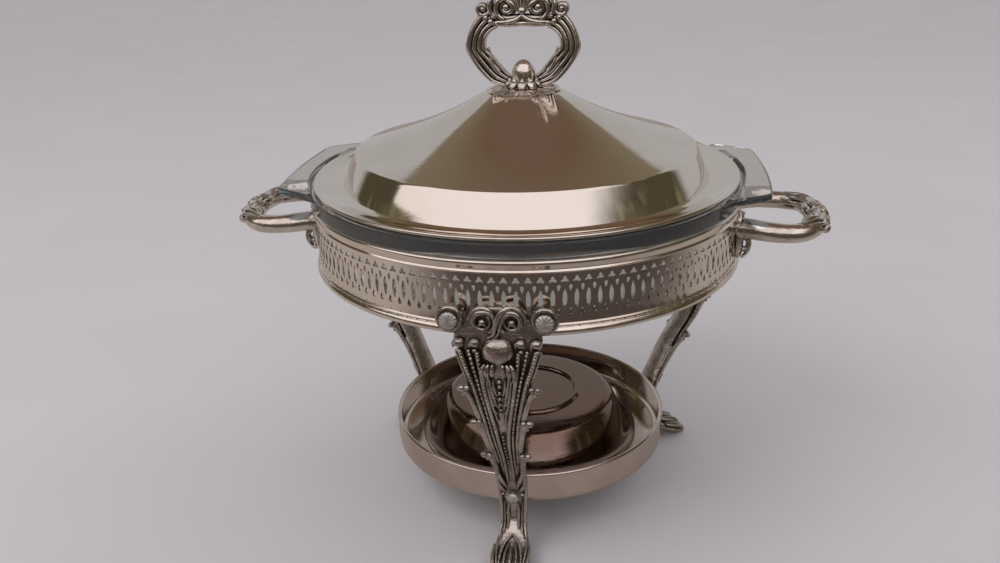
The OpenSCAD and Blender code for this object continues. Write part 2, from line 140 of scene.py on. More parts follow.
def ball(whole, at, size, turn=None, rough=2):
    # a round or stretched drop of metal; size is a radius or three radii
    s = size if isinstance(size, tuple) else (size, size, size)
    place = Matrix.Translation(Vector(at) * mm) @ (turn or Matrix.Identity(4))
    place = place @ Matrix.Diagonal((s[0] * mm, s[1] * mm, s[2] * mm, 1))
    bm = bmesh.new()
    bmesh.ops.create_icosphere(bm, subdivisions=rough, radius=1, matrix=place)
    addTo(whole, bm)


def curl(centre, radius, start, sweep, shrink, place, steps=18):
    # points of a scroll: it winds in from radius to radius * shrink
    pts = []
    for i in range(steps + 1):
        t = i / steps
        a = math.radians(start + sweep * t)
        r = radius * (1 - (1 - shrink) * t)
        pts.append(place(centre[0] + r * math.cos(a), centre[1] + r * math.sin(a)))
    return pts


def finishPiece(name, bm, body, material, sharp=35):
    bmesh.ops.recalc_face_normals(bm, faces=bm.faces)
    mesh = bpy.data.meshes.new(name)
    bm.to_mesh(mesh)
    bm.free()
    mesh.polygons.foreach_set("use_smooth", [True] * len(mesh.polygons))
    mesh.set_sharp_from_angle(angle=math.radians(sharp))
    mesh.materials.append(material)
    piece = bpy.data.objects.new(name, mesh)
    bpy.context.scene.collection.objects.link(piece)
    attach(piece, body)
    return piece


def turned(bm, degrees):
    copy = bm.copy()
    bmesh.ops.rotate(copy, verts=copy.verts, cent=(0, 0, 0),
                     matrix=Matrix.Rotation(math.radians(degrees), 3, "Z"))
    return copy


def newGroup(name, inputs, outputs):
    group = bpy.data.node_groups.new(name, "ShaderNodeTree")
    for label, kind, value in inputs:
        socket = group.interface.new_socket(label, in_out="INPUT", socket_type=kind)
        socket.default_value = value
    for label, kind in outputs:
        group.interface.new_socket(label, in_out="OUTPUT", socket_type=kind)
    return group, group.nodes.new("NodeGroupInput"), group.nodes.new("NodeGroupOutput")


def mixColour(nodes, links, factor, a, b):
    # a and b are colours or sockets
    mix = nodes.new("ShaderNodeMix")
    mix.data_type = "RGBA"
    links.new(factor, mix.inputs[0])
    for socket, value in ((mix.inputs[6], a), (mix.inputs[7], b)):
        if isinstance(value, bpy.types.NodeSocket):
            links.new(value, socket)
        else:
            socket.default_value = (*value, 1)
    return mix.outputs[2]


def spread(nodes, links, value, low, high, outLow, outHigh):
    node = nodes.new("ShaderNodeMapRange")
    node.interpolation_type = "SMOOTHSTEP"
    links.new(value, node.inputs["Value"])
    for label, number in (("From Min", low), ("From Max", high), ("To Min", outLow), ("To Max", outHigh)):
        if isinstance(number, bpy.types.NodeSocket):
            links.new(number, node.inputs[label])
        else:
            node.inputs[label].default_value = number
    return node.outputs["Result"]


def makeHandling():
    # cloudy wipe marks and fine hairlines, used by every polished metal
    group, gin, gout = newGroup(
        "handling", [("Cloud Size", "NodeSocketFloat", 30.0), ("Hairline Size", "NodeSocketFloat", 900.0)],
        [("Cloud", "NodeSocketFloat"), ("Hairline", "NodeSocketFloat")])
    nodes, links = group.nodes, group.links
    coords = nodes.new("ShaderNodeTexCoord")
    cloud = nodes.new("ShaderNodeTexNoise")
    cloud.inputs["Detail"].default_value = 5
    links.new(coords.outputs["Object"], cloud.inputs["Vector"])
    links.new(gin.outputs["Cloud Size"], cloud.inputs["Scale"])
    hair = nodes.new("ShaderNodeTexNoise")
    hair.inputs["Detail"].default_value = 2
    stretch = nodes.new("ShaderNodeMapping")
    stretch.inputs["Scale"].default_value = (0.25, 1.0, 0.6)
    links.new(coords.outputs["Object"], stretch.inputs["Vector"])
    links.new(stretch.outputs["Vector"], hair.inputs["Vector"])
    links.new(gin.outputs["Hairline Size"], hair.inputs["Scale"])
    links.new(spread(nodes, links, cloud.outputs["Fac"], 0.35, 0.68, 0, 1), gout.inputs["Cloud"])
    links.new(spread(nodes, links, hair.outputs["Fac"], 0.4, 0.65, 0, 1), gout.inputs["Hairline"])
    return group


def makeTarnish():
    # how deep in a recess a point lies: 0 in the open, 1 in the deepest corners
    group, gin, gout = newGroup(
        "tarnish", [("Reach", "NodeSocketFloat", 0.004), ("Open", "NodeSocketFloat", 0.85),
                    ("Deep", "NodeSocketFloat", 0.35)], [("Mask", "NodeSocketFloat")])
    nodes, links = group.nodes, group.links
    shade = nodes.new("ShaderNodeAmbientOcclusion")
    shade.samples = 8
    shade.only_local = True
    links.new(gin.outputs["Reach"], shade.inputs["Distance"])
    coords = nodes.new("ShaderNodeTexCoord")
    patch = nodes.new("ShaderNodeTexNoise")
    patch.inputs["Scale"].default_value = 260
    patch.inputs["Detail"].default_value = 3
    links.new(coords.outputs["Object"], patch.inputs["Vector"])
    wander = nodes.new("ShaderNodeMath")
    wander.operation = "MULTIPLY_ADD"
    links.new(patch.outputs["Fac"], wander.inputs[0])
    wander.inputs[1].default_value = 0.24
    wander.inputs[2].default_value = -0.12
    total = nodes.new("ShaderNodeMath")
    total.operation = "ADD"
    links.new(shade.outputs["AO"], total.inputs[0])
    links.new(wander.outputs[0], total.inputs[1])
    mask = spread(nodes, links, total.outputs[0], gin.outputs["Deep"], gin.outputs["Open"], 1, 0)
    links.new(mask, gout.inputs["Mask"])
    return group


handling = makeHandling()
tarnish = makeTarnish()


def metal(name, look):
    material = bpy.data.materials.new(name)
    material.use_nodes = True
    nodes, links = material.node_tree.nodes, material.node_tree.links
    shader = nodes["Principled BSDF"]
    shader.inputs["Metallic"].default_value = 1
    marks = nodes.new("ShaderNodeGroup")
    marks.node_tree = handling
    marks.inputs["Cloud Size"].default_value = look["cloudSize"]
    marks.inputs["Hairline Size"].default_value = look["hairSize"]
    colour = mixColour(nodes, links, marks.outputs["Cloud"], look["colour"], look["colourWorn"])
    rough = spread(nodes, links, marks.outputs["Cloud"], 0, 1, look["rough"], look["roughWorn"])
    if look.get("recess"):
        deep = nodes.new("ShaderNodeGroup")
        deep.node_tree = tarnish
        deep.inputs["Reach"].default_value = look["reach"]
        deep.inputs["Open"].default_value = look["open"]
        deep.inputs["Deep"].default_value = look["deep"]
        colour = mixColour(nodes, links, deep.outputs["Mask"], colour, look["recess"])
        rough = spread(nodes, links, deep.outputs["Mask"], 0, 1, rough, 0.55)
    if look.get("heat"):
        # brown bloom over the middle, where burners have stood
        coords = nodes.new("ShaderNodeTexCoord")
        flat = nodes.new("ShaderNodeVectorMath")
        flat.operation = "MULTIPLY"
        flat.inputs[1].default_value = (1, 1, 0)
        links.new(coords.outputs["Object"], flat.inputs[0])
        away = nodes.new("ShaderNodeVectorMath")
        away.operation = "LENGTH"
        links.new(flat.outputs["Vector"], away.inputs[0])
        bloom = spread(nodes, links, away.outputs["Value"], look["heatReach"] * 0.75, look["heatReach"] * 1.25, 1, 0)
        colour = mixColour(nodes, links, bloom, colour, look["heat"])
    links.new(colour, shader.inputs["Base Color"])
    links.new(rough, shader.inputs["Roughness"])
    bump = nodes.new("ShaderNodeBump")
    bump.inputs["Strength"].default_value = look["bump"]
    bump.inputs["Distance"].default_value = 0.0002
    links.new(marks.outputs["Hairline"], bump.inputs["Height"])
    links.new(bump.outputs["Normal"], shader.inputs["Normal"])
    return material


silverSheet = metal("silverSheet", {
    "colour": (0.86, 0.81, 0.75), "colourWorn": (0.80, 0.74, 0.67), "rough": 0.035, "roughWorn": 0.085,
    "cloudSize": 26.0, "hairSize": 700.0, "bump": 0.02})
silverBead = metal("silverBead", {
    "colour": (0.88, 0.82, 0.75), "colourWorn": (0.80, 0.72, 0.64), "rough": 0.05, "roughWorn": 0.13,
    "cloudSize": 60.0, "hairSize": 900.0, "bump": 0.04,
    "recess": (0.16, 0.12, 0.09), "reach": 0.003, "open": 0.75, "deep": 0.3})
silverCast = metal("silverCast", {
    "colour": (0.66, 0.61, 0.57), "colourWorn": (0.47, 0.42, 0.385), "rough": 0.17, "roughWorn": 0.3,
    "cloudSize": 150.0, "hairSize": 1100.0, "bump": 0.4,
    "recess": (0.115, 0.09, 0.077), "reach": 0.0042, "open": 0.86, "deep": 0.36})
traySheet = metal("traySheet", {
    "colour": (0.74, 0.66, 0.62), "colourWorn": (0.64, 0.55, 0.50), "rough": 0.06, "roughWorn": 0.14,
    "cloudSize": 34.0, "hairSize": 800.0, "bump": 0.03, "heat": (0.20, 0.135, 0.105), "heatReach": 0.064})
silverBright = metal("silverBright", {
    "colour": (0.84, 0.79, 0.74), "colourWorn": (0.66, 0.60, 0.55), "rough": 0.11, "roughWorn": 0.22,
    "cloudSize": 140.0, "hairSize": 1300.0, "bump": 0.15,
    "recess": (0.15, 0.12, 0.105), "reach": 0.0035, "open": 0.8, "deep": 0.34})
rivetMetal = metal("rivetMetal", {
    "colour": (0.72, 0.72, 0.72), "colourWorn": (0.58, 0.58, 0.58), "rough": 0.42, "roughWorn": 0.55,
    "cloudSize": 400.0, "hairSize": 2200.0, "bump": 0.25,
    "recess": (0.10, 0.09, 0.08), "reach": 0.0015, "open": 0.8, "deep": 0.35})
fastenerSteel = metal("fastenerSteel", {
    "colour": (0.62, 0.62, 0.61), "colourWorn": (0.50, 0.50, 0.49), "rough": 0.3, "roughWorn": 0.42,
    "cloudSize": 200.0, "hairSize": 1500.0, "bump": 0.2})


def makeGlass():
    # clear pressed glass: long paths through it, such as a tab's edge, turn teal
    material = bpy.data.materials.new("clearGlass")
    material.use_nodes = True
    nodes, links = material.node_tree.nodes, material.node_tree.links
    shader = nodes["Principled BSDF"]
    shader.inputs["Transmission Weight"].default_value = 0.96
    shader.inputs["Metallic"].default_value = 0
    shader.inputs["IOR"].default_value = 1.47
    coords = nodes.new("ShaderNodeTexCoord")
    haze = nodes.new("ShaderNodeTexNoise")
    haze.inputs["Scale"].default_value = 90
    haze.inputs["Detail"].default_value = 4
    links.new(coords.outputs["Object"], haze.inputs["Vector"])
    links.new(spread(nodes, links, haze.outputs["Fac"], 0.45, 0.75, 0.0, 0.05), shader.inputs["Roughness"])
    tint = mixColour(nodes, links, haze.outputs["Fac"], (0.975, 0.985, 0.99), (0.93, 0.95, 0.96))
    links.new(tint, shader.inputs["Base Color"])
    soak = nodes.new("ShaderNodeVolumeAbsorption")
    soak.inputs["Color"].default_value = (0.35, 0.72, 0.74, 1)
    soak.inputs["Density"].default_value = 9
    links.new(soak.outputs["Volume"], nodes["Material Output"].inputs["Volume"])
    return material


clearGlass = makeGlass()
print("finishes made")


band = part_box("gallery_band")
galleryRadius = band[1].x / mm
lowBead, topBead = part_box("gallery_low_bead"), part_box("gallery_top_bead")
galleryLow, galleryTop = lowBead[0].z / mm, topBead[1].z / mm

gallery = {"columns": 132, "wall": 1.0, "ovalTall": 9.6, "ovalWide": 2.3, "ovalAt": 17.6,
           "cloverTall": 3.7, "cloverWide": 3.7, "cloverAt": 26.7, "dropTall": 4.0, "dropWide": 2.1, "dropAt": 22.6,
           "spadeTall": 4.0, "spadeWide": 2.6, "spadeAt": 11.9}


def cutShape(bm, kind, u, z, wide, tall):
    # one closed outline in the flat strip: oval, drop (point down), spade (point up) or clover
    ring = bmesh.ops.create_circle(bm, segments=18 if kind == "clover" else 12, radius=1)["verts"]
    for v in ring:
        x, y = v.co.x, v.co.y
        if kind == "oval":
            x *= abs(x) ** 0.4
        elif kind == "drop":
            x *= (1 + y) * 0.64
        elif kind == "spade":
            x *= (1 - y) * 0.64
        else:
            swell = 0.74 + 0.26 * math.cos(3 * (math.atan2(y, x) - math.pi / 2))
            x, y = x * swell * 1.12, y * swell + 0.1
        v.co = Vector((u + x * wide / 2, 0, z + y * tall / 2))


def makeGallery():
    pitch = 2 * math.pi * galleryRadius / gallery["columns"]
    low, high = band[0].z / mm - galleryLow, band[1].z / mm - galleryLow
    bm = bmesh.new()
    corners = [(-0.8 * pitch, low), (0.8 * pitch, low), (0.8 * pitch, high), (-0.8 * pitch, high)]
    frameVerts = [bm.verts.new((u, 0, z)) for u, z in corners]
    for a, b in zip(frameVerts, frameVerts[1:] + frameVerts[:1]):
        bm.edges.new((a, b))
    cutShape(bm, "oval", 0, gallery["ovalAt"], gallery["ovalWide"], gallery["ovalTall"])
    cutShape(bm, "clover", 0, gallery["cloverAt"], gallery["cloverWide"], gallery["cloverTall"])
    for u in (-pitch / 2, pitch / 2):
        cutShape(bm, "drop", u, gallery["dropAt"], gallery["dropWide"], gallery["dropTall"])
        cutShape(bm, "spade", u, gallery["spadeAt"], gallery["spadeWide"], gallery["spadeTall"])
    bmesh.ops.triangle_fill(bm, edges=bm.edges, use_beauty=True)
    for u, out in ((-pitch / 2, -1), (pitch / 2, 1)):
        geom = bm.verts[:] + bm.edges[:] + bm.faces[:]
        bmesh.ops.bisect_plane(bm, geom=geom, plane_co=(u, 0, 0), plane_no=(out, 0, 0), clear_outer=True)
    for v in bm.verts:  # bend the tile onto the wall, half a pitch round so that its slots line up with the frame's
        a = (v.co.x / pitch + 0.5) * 2 * math.pi / gallery["columns"]
        v.co = Vector((math.cos(a) * galleryRadius, math.sin(a) * galleryRadius, v.co.z + galleryLow)) * mm
    bmesh.ops.recalc_face_normals(bm, faces=bm.faces)
    bmesh.ops.spin(bm, geom=bm.verts[:] + bm.edges[:] + bm.faces[:], axis=(0, 0, 1), cent=(0, 0, 0),
                   angle=2 * math.pi, steps=gallery["columns"], use_duplicate=True)
    bmesh.ops.remove_doubles(bm, verts=bm.verts, dist=2e-6)
    for face in bm.faces:
        middle = face.calc_center_median()
        if face.normal.dot(Vector((middle.x, middle.y, 0))) < 0:
            face.normal_flip()
    bmesh.ops.solidify(bm, geom=bm.faces[:], thickness=gallery["wall"] * mm)
    piece = finishPiece("galleryWall", bm, "stand", silverSheet, sharp=30)
    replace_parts(piece, "gallery_band")


makeGallery()

# the two rolled edges as (out from the wall's middle, up from the edge)
beads = {"wallHalf": 0.5, "steps": 240,
         "lower": [(-1.7, 4.2), (-2.0, 2.2), (-1.2, 0.5), (0, 0), (1.3, 0.5), (2.05, 2.0), (1.5, 3.6), (0.75, 4.3),
                   (0.7, 4.6), (1.25, 5.2), (0.75, 5.9), (0.56, 6.0), (-1.0, 6.0)],
         "upper": [(0.56, -6.6), (0.8, -6.5), (1.2, -5.9), (0.8, -5.2), (0.65, -4.7), (1.1, -3.6), (1.8, -1.8),
                   (1.3, -0.5), (0, 0), (-1.2, -0.5), (-1.8, -1.8), (-1.2, -3.4), (-1.0, -6.5)]}


def makeBead(name, outline, edge):
    middle = galleryRadius - beads["wallHalf"]
    line = [(middle + out, edge + up) for out, up in outline]
    bm = lathe(flow(line + line[:1], 4)[:-1], beads["steps"], ring=True)
    return finishPiece(name, bm, "stand", silverBead, sharp=50)


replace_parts(makeBead("lowerBead", beads["lower"], galleryLow), "gallery_low_bead")
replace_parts(makeBead("upperBead", beads["upper"], galleryTop), "gallery_top_bead")
print("gallery made")


coverBox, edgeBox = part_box("cover_shell"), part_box("cover_edge")
seat = edgeBox[0].z / mm
rimRadius = edgeBox[1].x / mm
capTop = coverBox[1].z / mm

cover = {"metal": 1.0, "capRadius": 19.9, "ridgeIn": 23.2, "ridgeUp": 15.5, "bandFoot": 15.4}


def makeCover():
    ridge = rimRadius - cover["ridgeIn"]
    ridgeZ = seat + cover["ridgeUp"]
    rise = capTop - ridgeZ
    span = ridge - cover["capRadius"]
    cone = [(cover["capRadius"] + 0.6, capTop - 0.12)]
    for share, height in ((0.136, 0.812), (0.276, 0.637), (0.417, 0.48), (0.559, 0.342), (0.70, 0.22),
                          (0.842, 0.108)):
        cone.append((cover["capRadius"] + span * share, ridgeZ + rise * height))
    cone.append((ridge - 0.9, ridgeZ))
    foot = rimRadius - cover["bandFoot"]
    top = [(0, capTop), (8, capTop), (cover["capRadius"] + 0.2, capTop)]
    band = flow([(ridge + 0.35, ridgeZ - 0.75), (ridge + 2.7, ridgeZ - 5.4), (ridge + 5.1, ridgeZ - 10.6),
                 (foot - 0.7, seat - 0.1)], 4)
    flange = flow([(foot + 0.3, seat - 0.75), (foot + 3.4, seat - 1.15), (rimRadius - 7.2, seat - 0.35),
                   (rimRadius - 4.3, seat + 0.85), (rimRadius - 2.3, seat + 1.5), (rimRadius - 1.5, seat + 1.75)], 4)
    line = top + flow(cone, 6) + [(ridge - 0.15, ridgeZ - 0.2)] + band + flange
    bm = lathe(skin(line, cover["metal"]), 256)
    piece = finishPiece("coverShell", bm, "cover", silverSheet, sharp=26)
    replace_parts(piece, "cover_shell")
    rim = []
    for i in range(14):
        a = 2 * math.pi * i / 14
        rim.append((rimRadius - 1 + math.cos(a), seat + 1 + math.sin(a)))
    piece = finishPiece("coverEdge", lathe(rim, 240, ring=True), "cover", silverBead, sharp=60)
    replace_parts(piece, "cover_edge")


makeCover()
print("cover made")


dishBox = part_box("glass_dish")
dish = {"rim": 117.0, "body": 110.3, "base": 84.0, "glass": 4.5, "tabReach": dishBox[1].x / mm,
        "tabCorner": 44.5, "tabEndRadius": 400.0, "tabThick": 4.0, "rimUp": 7.7}


def tabOutline(degrees):
    # how far the glass reaches at this angle from the X axis, rim included
    a = abs((degrees + 90) % 180 - 90)
    reach = dish["tabReach"]
    end = dish["tabEndRadius"]
    t = math.radians(a)
    centre = reach - end
    b = -centre * math.cos(t)
    arc = -b + math.sqrt(b * b - centre * centre + end * end)
    x0, y0, x1, y1 = reach - 2.6, dish["tabCorner"], dish["rim"] - 16, dish["tabCorner"] + 14.6
    nx, ny = y0 - y1, x1 - x0
    side = (nx * x0 + ny * y0) / (nx * math.cos(t) + ny * math.sin(t)) if 2 < a < 50 else (999 if a <= 2 else 0)
    soft = 0.8
    blend = -soft * math.log(math.exp(-arc / soft) + math.exp(-min(side, 300) / soft)) if side else 0
    return max(dish["rim"], blend)


def makeDish():
    low = dishBox[0].z / mm
    rimLow = galleryTop + 0.3
    rimTop = rimLow + dish["rimUp"]
    tabTop = dishBox[1].z / mm
    tabLow = tabTop - dish["tabThick"]
    body, base, rim, g = dish["body"], dish["base"], dish["rim"], dish["glass"]
    deep = rimLow - low
    outside = flow([(0, low + 0.4), (base - 20, low + 0.3), (base - 4, low), (base + 1.5, low + 1.5),
                    (base + 6, low + 6), (base + 14, low + deep * 0.38), (base + 21.5, low + deep * 0.78),
                    (body, rimLow - 1)], 5)
    lip = [(body + 1.2, rimLow), (rim - 1.5, rimLow), (rim - 0.3, rimLow + 0.7), (rim, rimLow + 2),
           (rim, tabLow - 0.8)]
    tab = [(rim - 0.04, tabLow), (rim - 0.03, tabLow + 0.1), (rim - 0.02, tabLow + 0.3), (rim - 0.02, rimTop - 0.8),
           (rim - 0.05, rimTop - 0.4), (rim - 0.1, rimTop - 0.3)]
    inside = [(rim - 0.5, rimTop), (rim - 5.4, rimTop), (rim - 6.6, rimTop - 0.8)]
    bowl = flow([(body - g + 1.2, rimLow + 1), (base + 21.5 - g, low + deep * 0.78),
                 (base + 14 - g, low + deep * 0.4), (base + 5 - g, low + 10.5), (base - 4, low + 5),
                 (base - 12, low + g + 0.2), (0, low + g + 0.2)], 5)
    line = outside + lip + tab + inside + bowl
    first = len(outside) + len(lip)
    bm = bmesh.new()
    layer = bm.verts.layers.int.new("row")
    verts = [bm.verts.new((r * mm, 0, z * mm)) for r, z in line]
    for i, v in enumerate(verts):
        v[layer] = i + 1
    edges = [bm.edges.new(pair) for pair in zip(verts, verts[1:])]
    bmesh.ops.spin(bm, geom=verts + edges, axis=(0, 0, 1), cent=(0, 0, 0), angle=2 * math.pi, steps=300,
                   use_merge=True)
    rows = ["inLow", "outLow", "outMid", "outHigh", "outTop", "inTop"]
    for v in bm.verts:
        k = v[layer] - 1 - first
        if not 0 <= k < len(rows):
            continue
        angle = math.degrees(math.atan2(v.co.y, v.co.x))
        reach = tabOutline(angle)
        grow = reach - dish["rim"]
        if grow < 0.5:
            continue
        full = min(1, (grow - 0.5) / 2.5)
        heights = {"inLow": tabLow, "outLow": tabLow + 0.2, "outMid": tabLow + 1.0, "outHigh": tabTop - 1.0,
                   "outTop": tabTop - 0.1, "inTop": tabTop}
        radii = {"inLow": dish["rim"] + 0.1, "outLow": reach - 0.8, "outMid": reach, "outHigh": reach,
                 "outTop": reach - 1.0, "inTop": dish["rim"] + 0.4}
        row = rows[k]
        flat = Vector((v.co.x, v.co.y)).normalized()
        was = Vector((v.co.x, v.co.y)).length / mm
        radius = was + (radii[row] - was) * (full if row in ("inLow", "inTop") else 1)
        height = v.co.z / mm + (heights[row] - v.co.z / mm) * full
        v.co = Vector((flat.x * radius * mm, flat.y * radius * mm, height * mm))
    bmesh.ops.remove_doubles(bm, verts=bm.verts, dist=1e-7)
    piece = finishPiece("glassDish", bm, "dish", clearGlass, sharp=28)
    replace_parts(piece, "glass_dish")


makeDish()
print("dish made")


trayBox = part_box("burner_tray")
tray = {"raised": 48.6, "ringAt": 28.4, "ringUp": 1.5, "wallTall": 18}


def makeTray():
    outer = trayBox[1].x / mm
    low, high = trayBox[0].z / mm, trayBox[1].z / mm
    rim = low + tray["wallTall"]
    ring, crest, raised = tray["ringAt"], high + tray["ringUp"], tray["raised"]
    inside = flow([(0, high - 0.05), (ring - 3.2, high - 0.05), (ring - 1.8, high + 0.15), (ring - 0.7, crest),
                   (ring + 0.7, crest), (ring + 1.8, high + 0.15), (ring + 3.2, high - 0.05),
                   (raised - 5, high - 0.1), (raised - 1.5, high - 0.7), (raised + 1.5, high - 3.2),
                   (raised + 6, high - 12), (raised + 10.5, high - 21), (raised + 14, low + 1.5),
                   (raised + 18, low + 1.1), (outer - 5.5, low + 1.15), (outer - 2.3, low + 2.2),
                   (outer - 1.2, low + 5), (outer - 1.1, rim - 3), (outer - 1.4, rim - 1.2)], 5)
    roll = flow([(outer - 2.2, rim - 0.5), (outer - 1.6, rim), (outer - 0.6, rim), (outer, rim - 0.9),
                 (outer - 0.1, rim - 2.2), (outer - 0.15, rim - 4)], 3)
    outside = flow([(outer - 0.15, low + 5), (outer - 0.7, low + 1.6), (outer - 2.6, low + 0.3), (outer - 5.5, low),
                    (raised + 18, low), (raised + 13.2, low + 0.6), (raised + 9.6, high - 21.4),
                    (raised + 5.1, high - 12.4), (raised + 0.6, high - 3.9), (raised - 1.8, high - 1.7),
                    (raised - 5, high - 1.1), (ring, high - 1.1), (0, high - 1.1)], 4)
    bm = lathe(inside + roll + outside, 224)
    piece = finishPiece("burnerTray", bm, "stand", traySheet, sharp=60)
    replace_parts(piece, "burner_tray", "burner_ring")


makeTray()
print("tray made")


# the front of a leg from top to toe, as (distance from the middle, height); drawn at -Y, then turned
legFace = flow([(121.3, 158), (121.3, 150), (121.2, 142), (120.4, 128), (118.8, 113), (115.6, 98), (110.6, 84),
                (102.6, 71.5), (95.9, 60.5), (90.8, 50), (86.4, 41), (83.9, 33), (83.4, 25), (86.0, 17), (92.4, 10.8),
                (100.4, 7.6), (106.4, 5.2), (108.6, 2.6)], 4)

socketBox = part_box("socket_rivets_front")
rivets = {"flutes": 14, "headRadius": 4.3, "headTall": 1.35, "trayRadius": 3.2, "trayTall": 1.7, "lugRadius": 2.9,
          "lugTall": 1.3, "innerRadius": 3.0, "innerTall": 0.9, "boxHalf": 3.8, "headRoom": 1.4, "bothHeads": 2.3}

leg = {"sink": 2.2, "socketOut": socketBox[1].x / mm - rivets["boxHalf"],
       "rowAt": (socketBox[0].z + socketBox[1].z) / 2 / mm, "scrollOut": 6.4, "socketRadius": 5.3,
       "scrollRadius": 5.9}


def legAt(u, z, lift=0.0):
    # a point on the leg's face: u across, z up, lifted off the face along its normal
    for (r0, z0), (r1, z1) in zip(legFace, legFace[1:]):
        if z >= z1 or (r1, z1) == legFace[-1]:
            t = (z0 - z) / (z0 - z1)
            r = r0 + (r1 - r0) * t
            out = Vector((z0 - z1, r1 - r0)).normalized()
            return Vector((u, -(r - leg["sink"] + out.x * lift), z + out.y * lift))


def legLine(points, steps=4):
    # a smooth line over the face through (u, z, lift) points
    return [legAt(u, z, lift) for u, z, lift in flow(points, steps)]


def onLeg(lift):
    return lambda u, z: legAt(u, z, lift)


def toSide(side, points):
    # the same (u, z, lift) points on the left or the right half
    return [(side * u, z, lift) for u, z, lift in points]


def taper(count, first, middle, last):
    sizes = []
    for i in range(count):
        t = i / (count - 1)
        sizes.append(first + (middle - first) * t * 2 if t < 0.5 else middle + (last - middle) * (t * 2 - 1))
    return sizes


def strand(whole, points, first, middle, last, sides=8):
    line = legLine(points)
    rod(whole, line, taper(len(line), first, middle, last), sides=sides)


def beadsAlong(whole, track, count, size, shrink=0.0):
    for i in range(count):
        t = i / (count - 1) * (len(track) - 1)
        k = min(int(t), len(track) - 2)
        ball(whole, track[k].lerp(track[k + 1], t - k), size - shrink * i, rough=1)


def legPlate(whole):
    # backing plate, thick in the shank and thin where it lies on the gallery
    widths = [(158, 5), (156.5, 9), (154, 12.5), (151, 16), (148, 19), (145, 20.4), (142, 20.4), (138, 18.4),
              (133, 16.6), (127, 14.8), (121, 12.6), (113, 10.9), (105, 9.4), (97, 8.2), (88, 7.2), (80, 6.9),
              (70, 6.6), (60, 6.6), (50, 7.0), (44, 7.3), (30, 7.2), (20, 7.0), (14, 7.5), (10, 9.4), (6, 10.3),
              (3, 9.2)]
    depths = [(158, 1.0), (150, 1.15), (120, 1.3), (100, 1.5), (80, 1.8), (60, 1.9), (40, 1.7), (30, 1.6), (20, 2.2),
              (10, 2.9), (5, 3.0), (2.6, 2.2)]
    heights = [158 - i * 3.0 for i in range(47)] + [17.5, 15, 12.6, 10.4, 8.8, 7.4, 6, 4.6, 3.4]
    path = [legAt(0, z, -between(depths, z)) for z in heights]
    for p in path:
        p.z = max(p.z, 2.7)
    rod(whole, path, [(between(widths, z), between(depths, z)) for z in heights], sides=20)
    sole = [(0, -101.5, 1.6), (0, -104.5, 1.6), (0, -107, 1.6)]
    rod(whole, sole, [(8.6, 1.6), (9.0, 1.6), (7.6, 1.6)], sides=16, facing=(0, 0, 1))


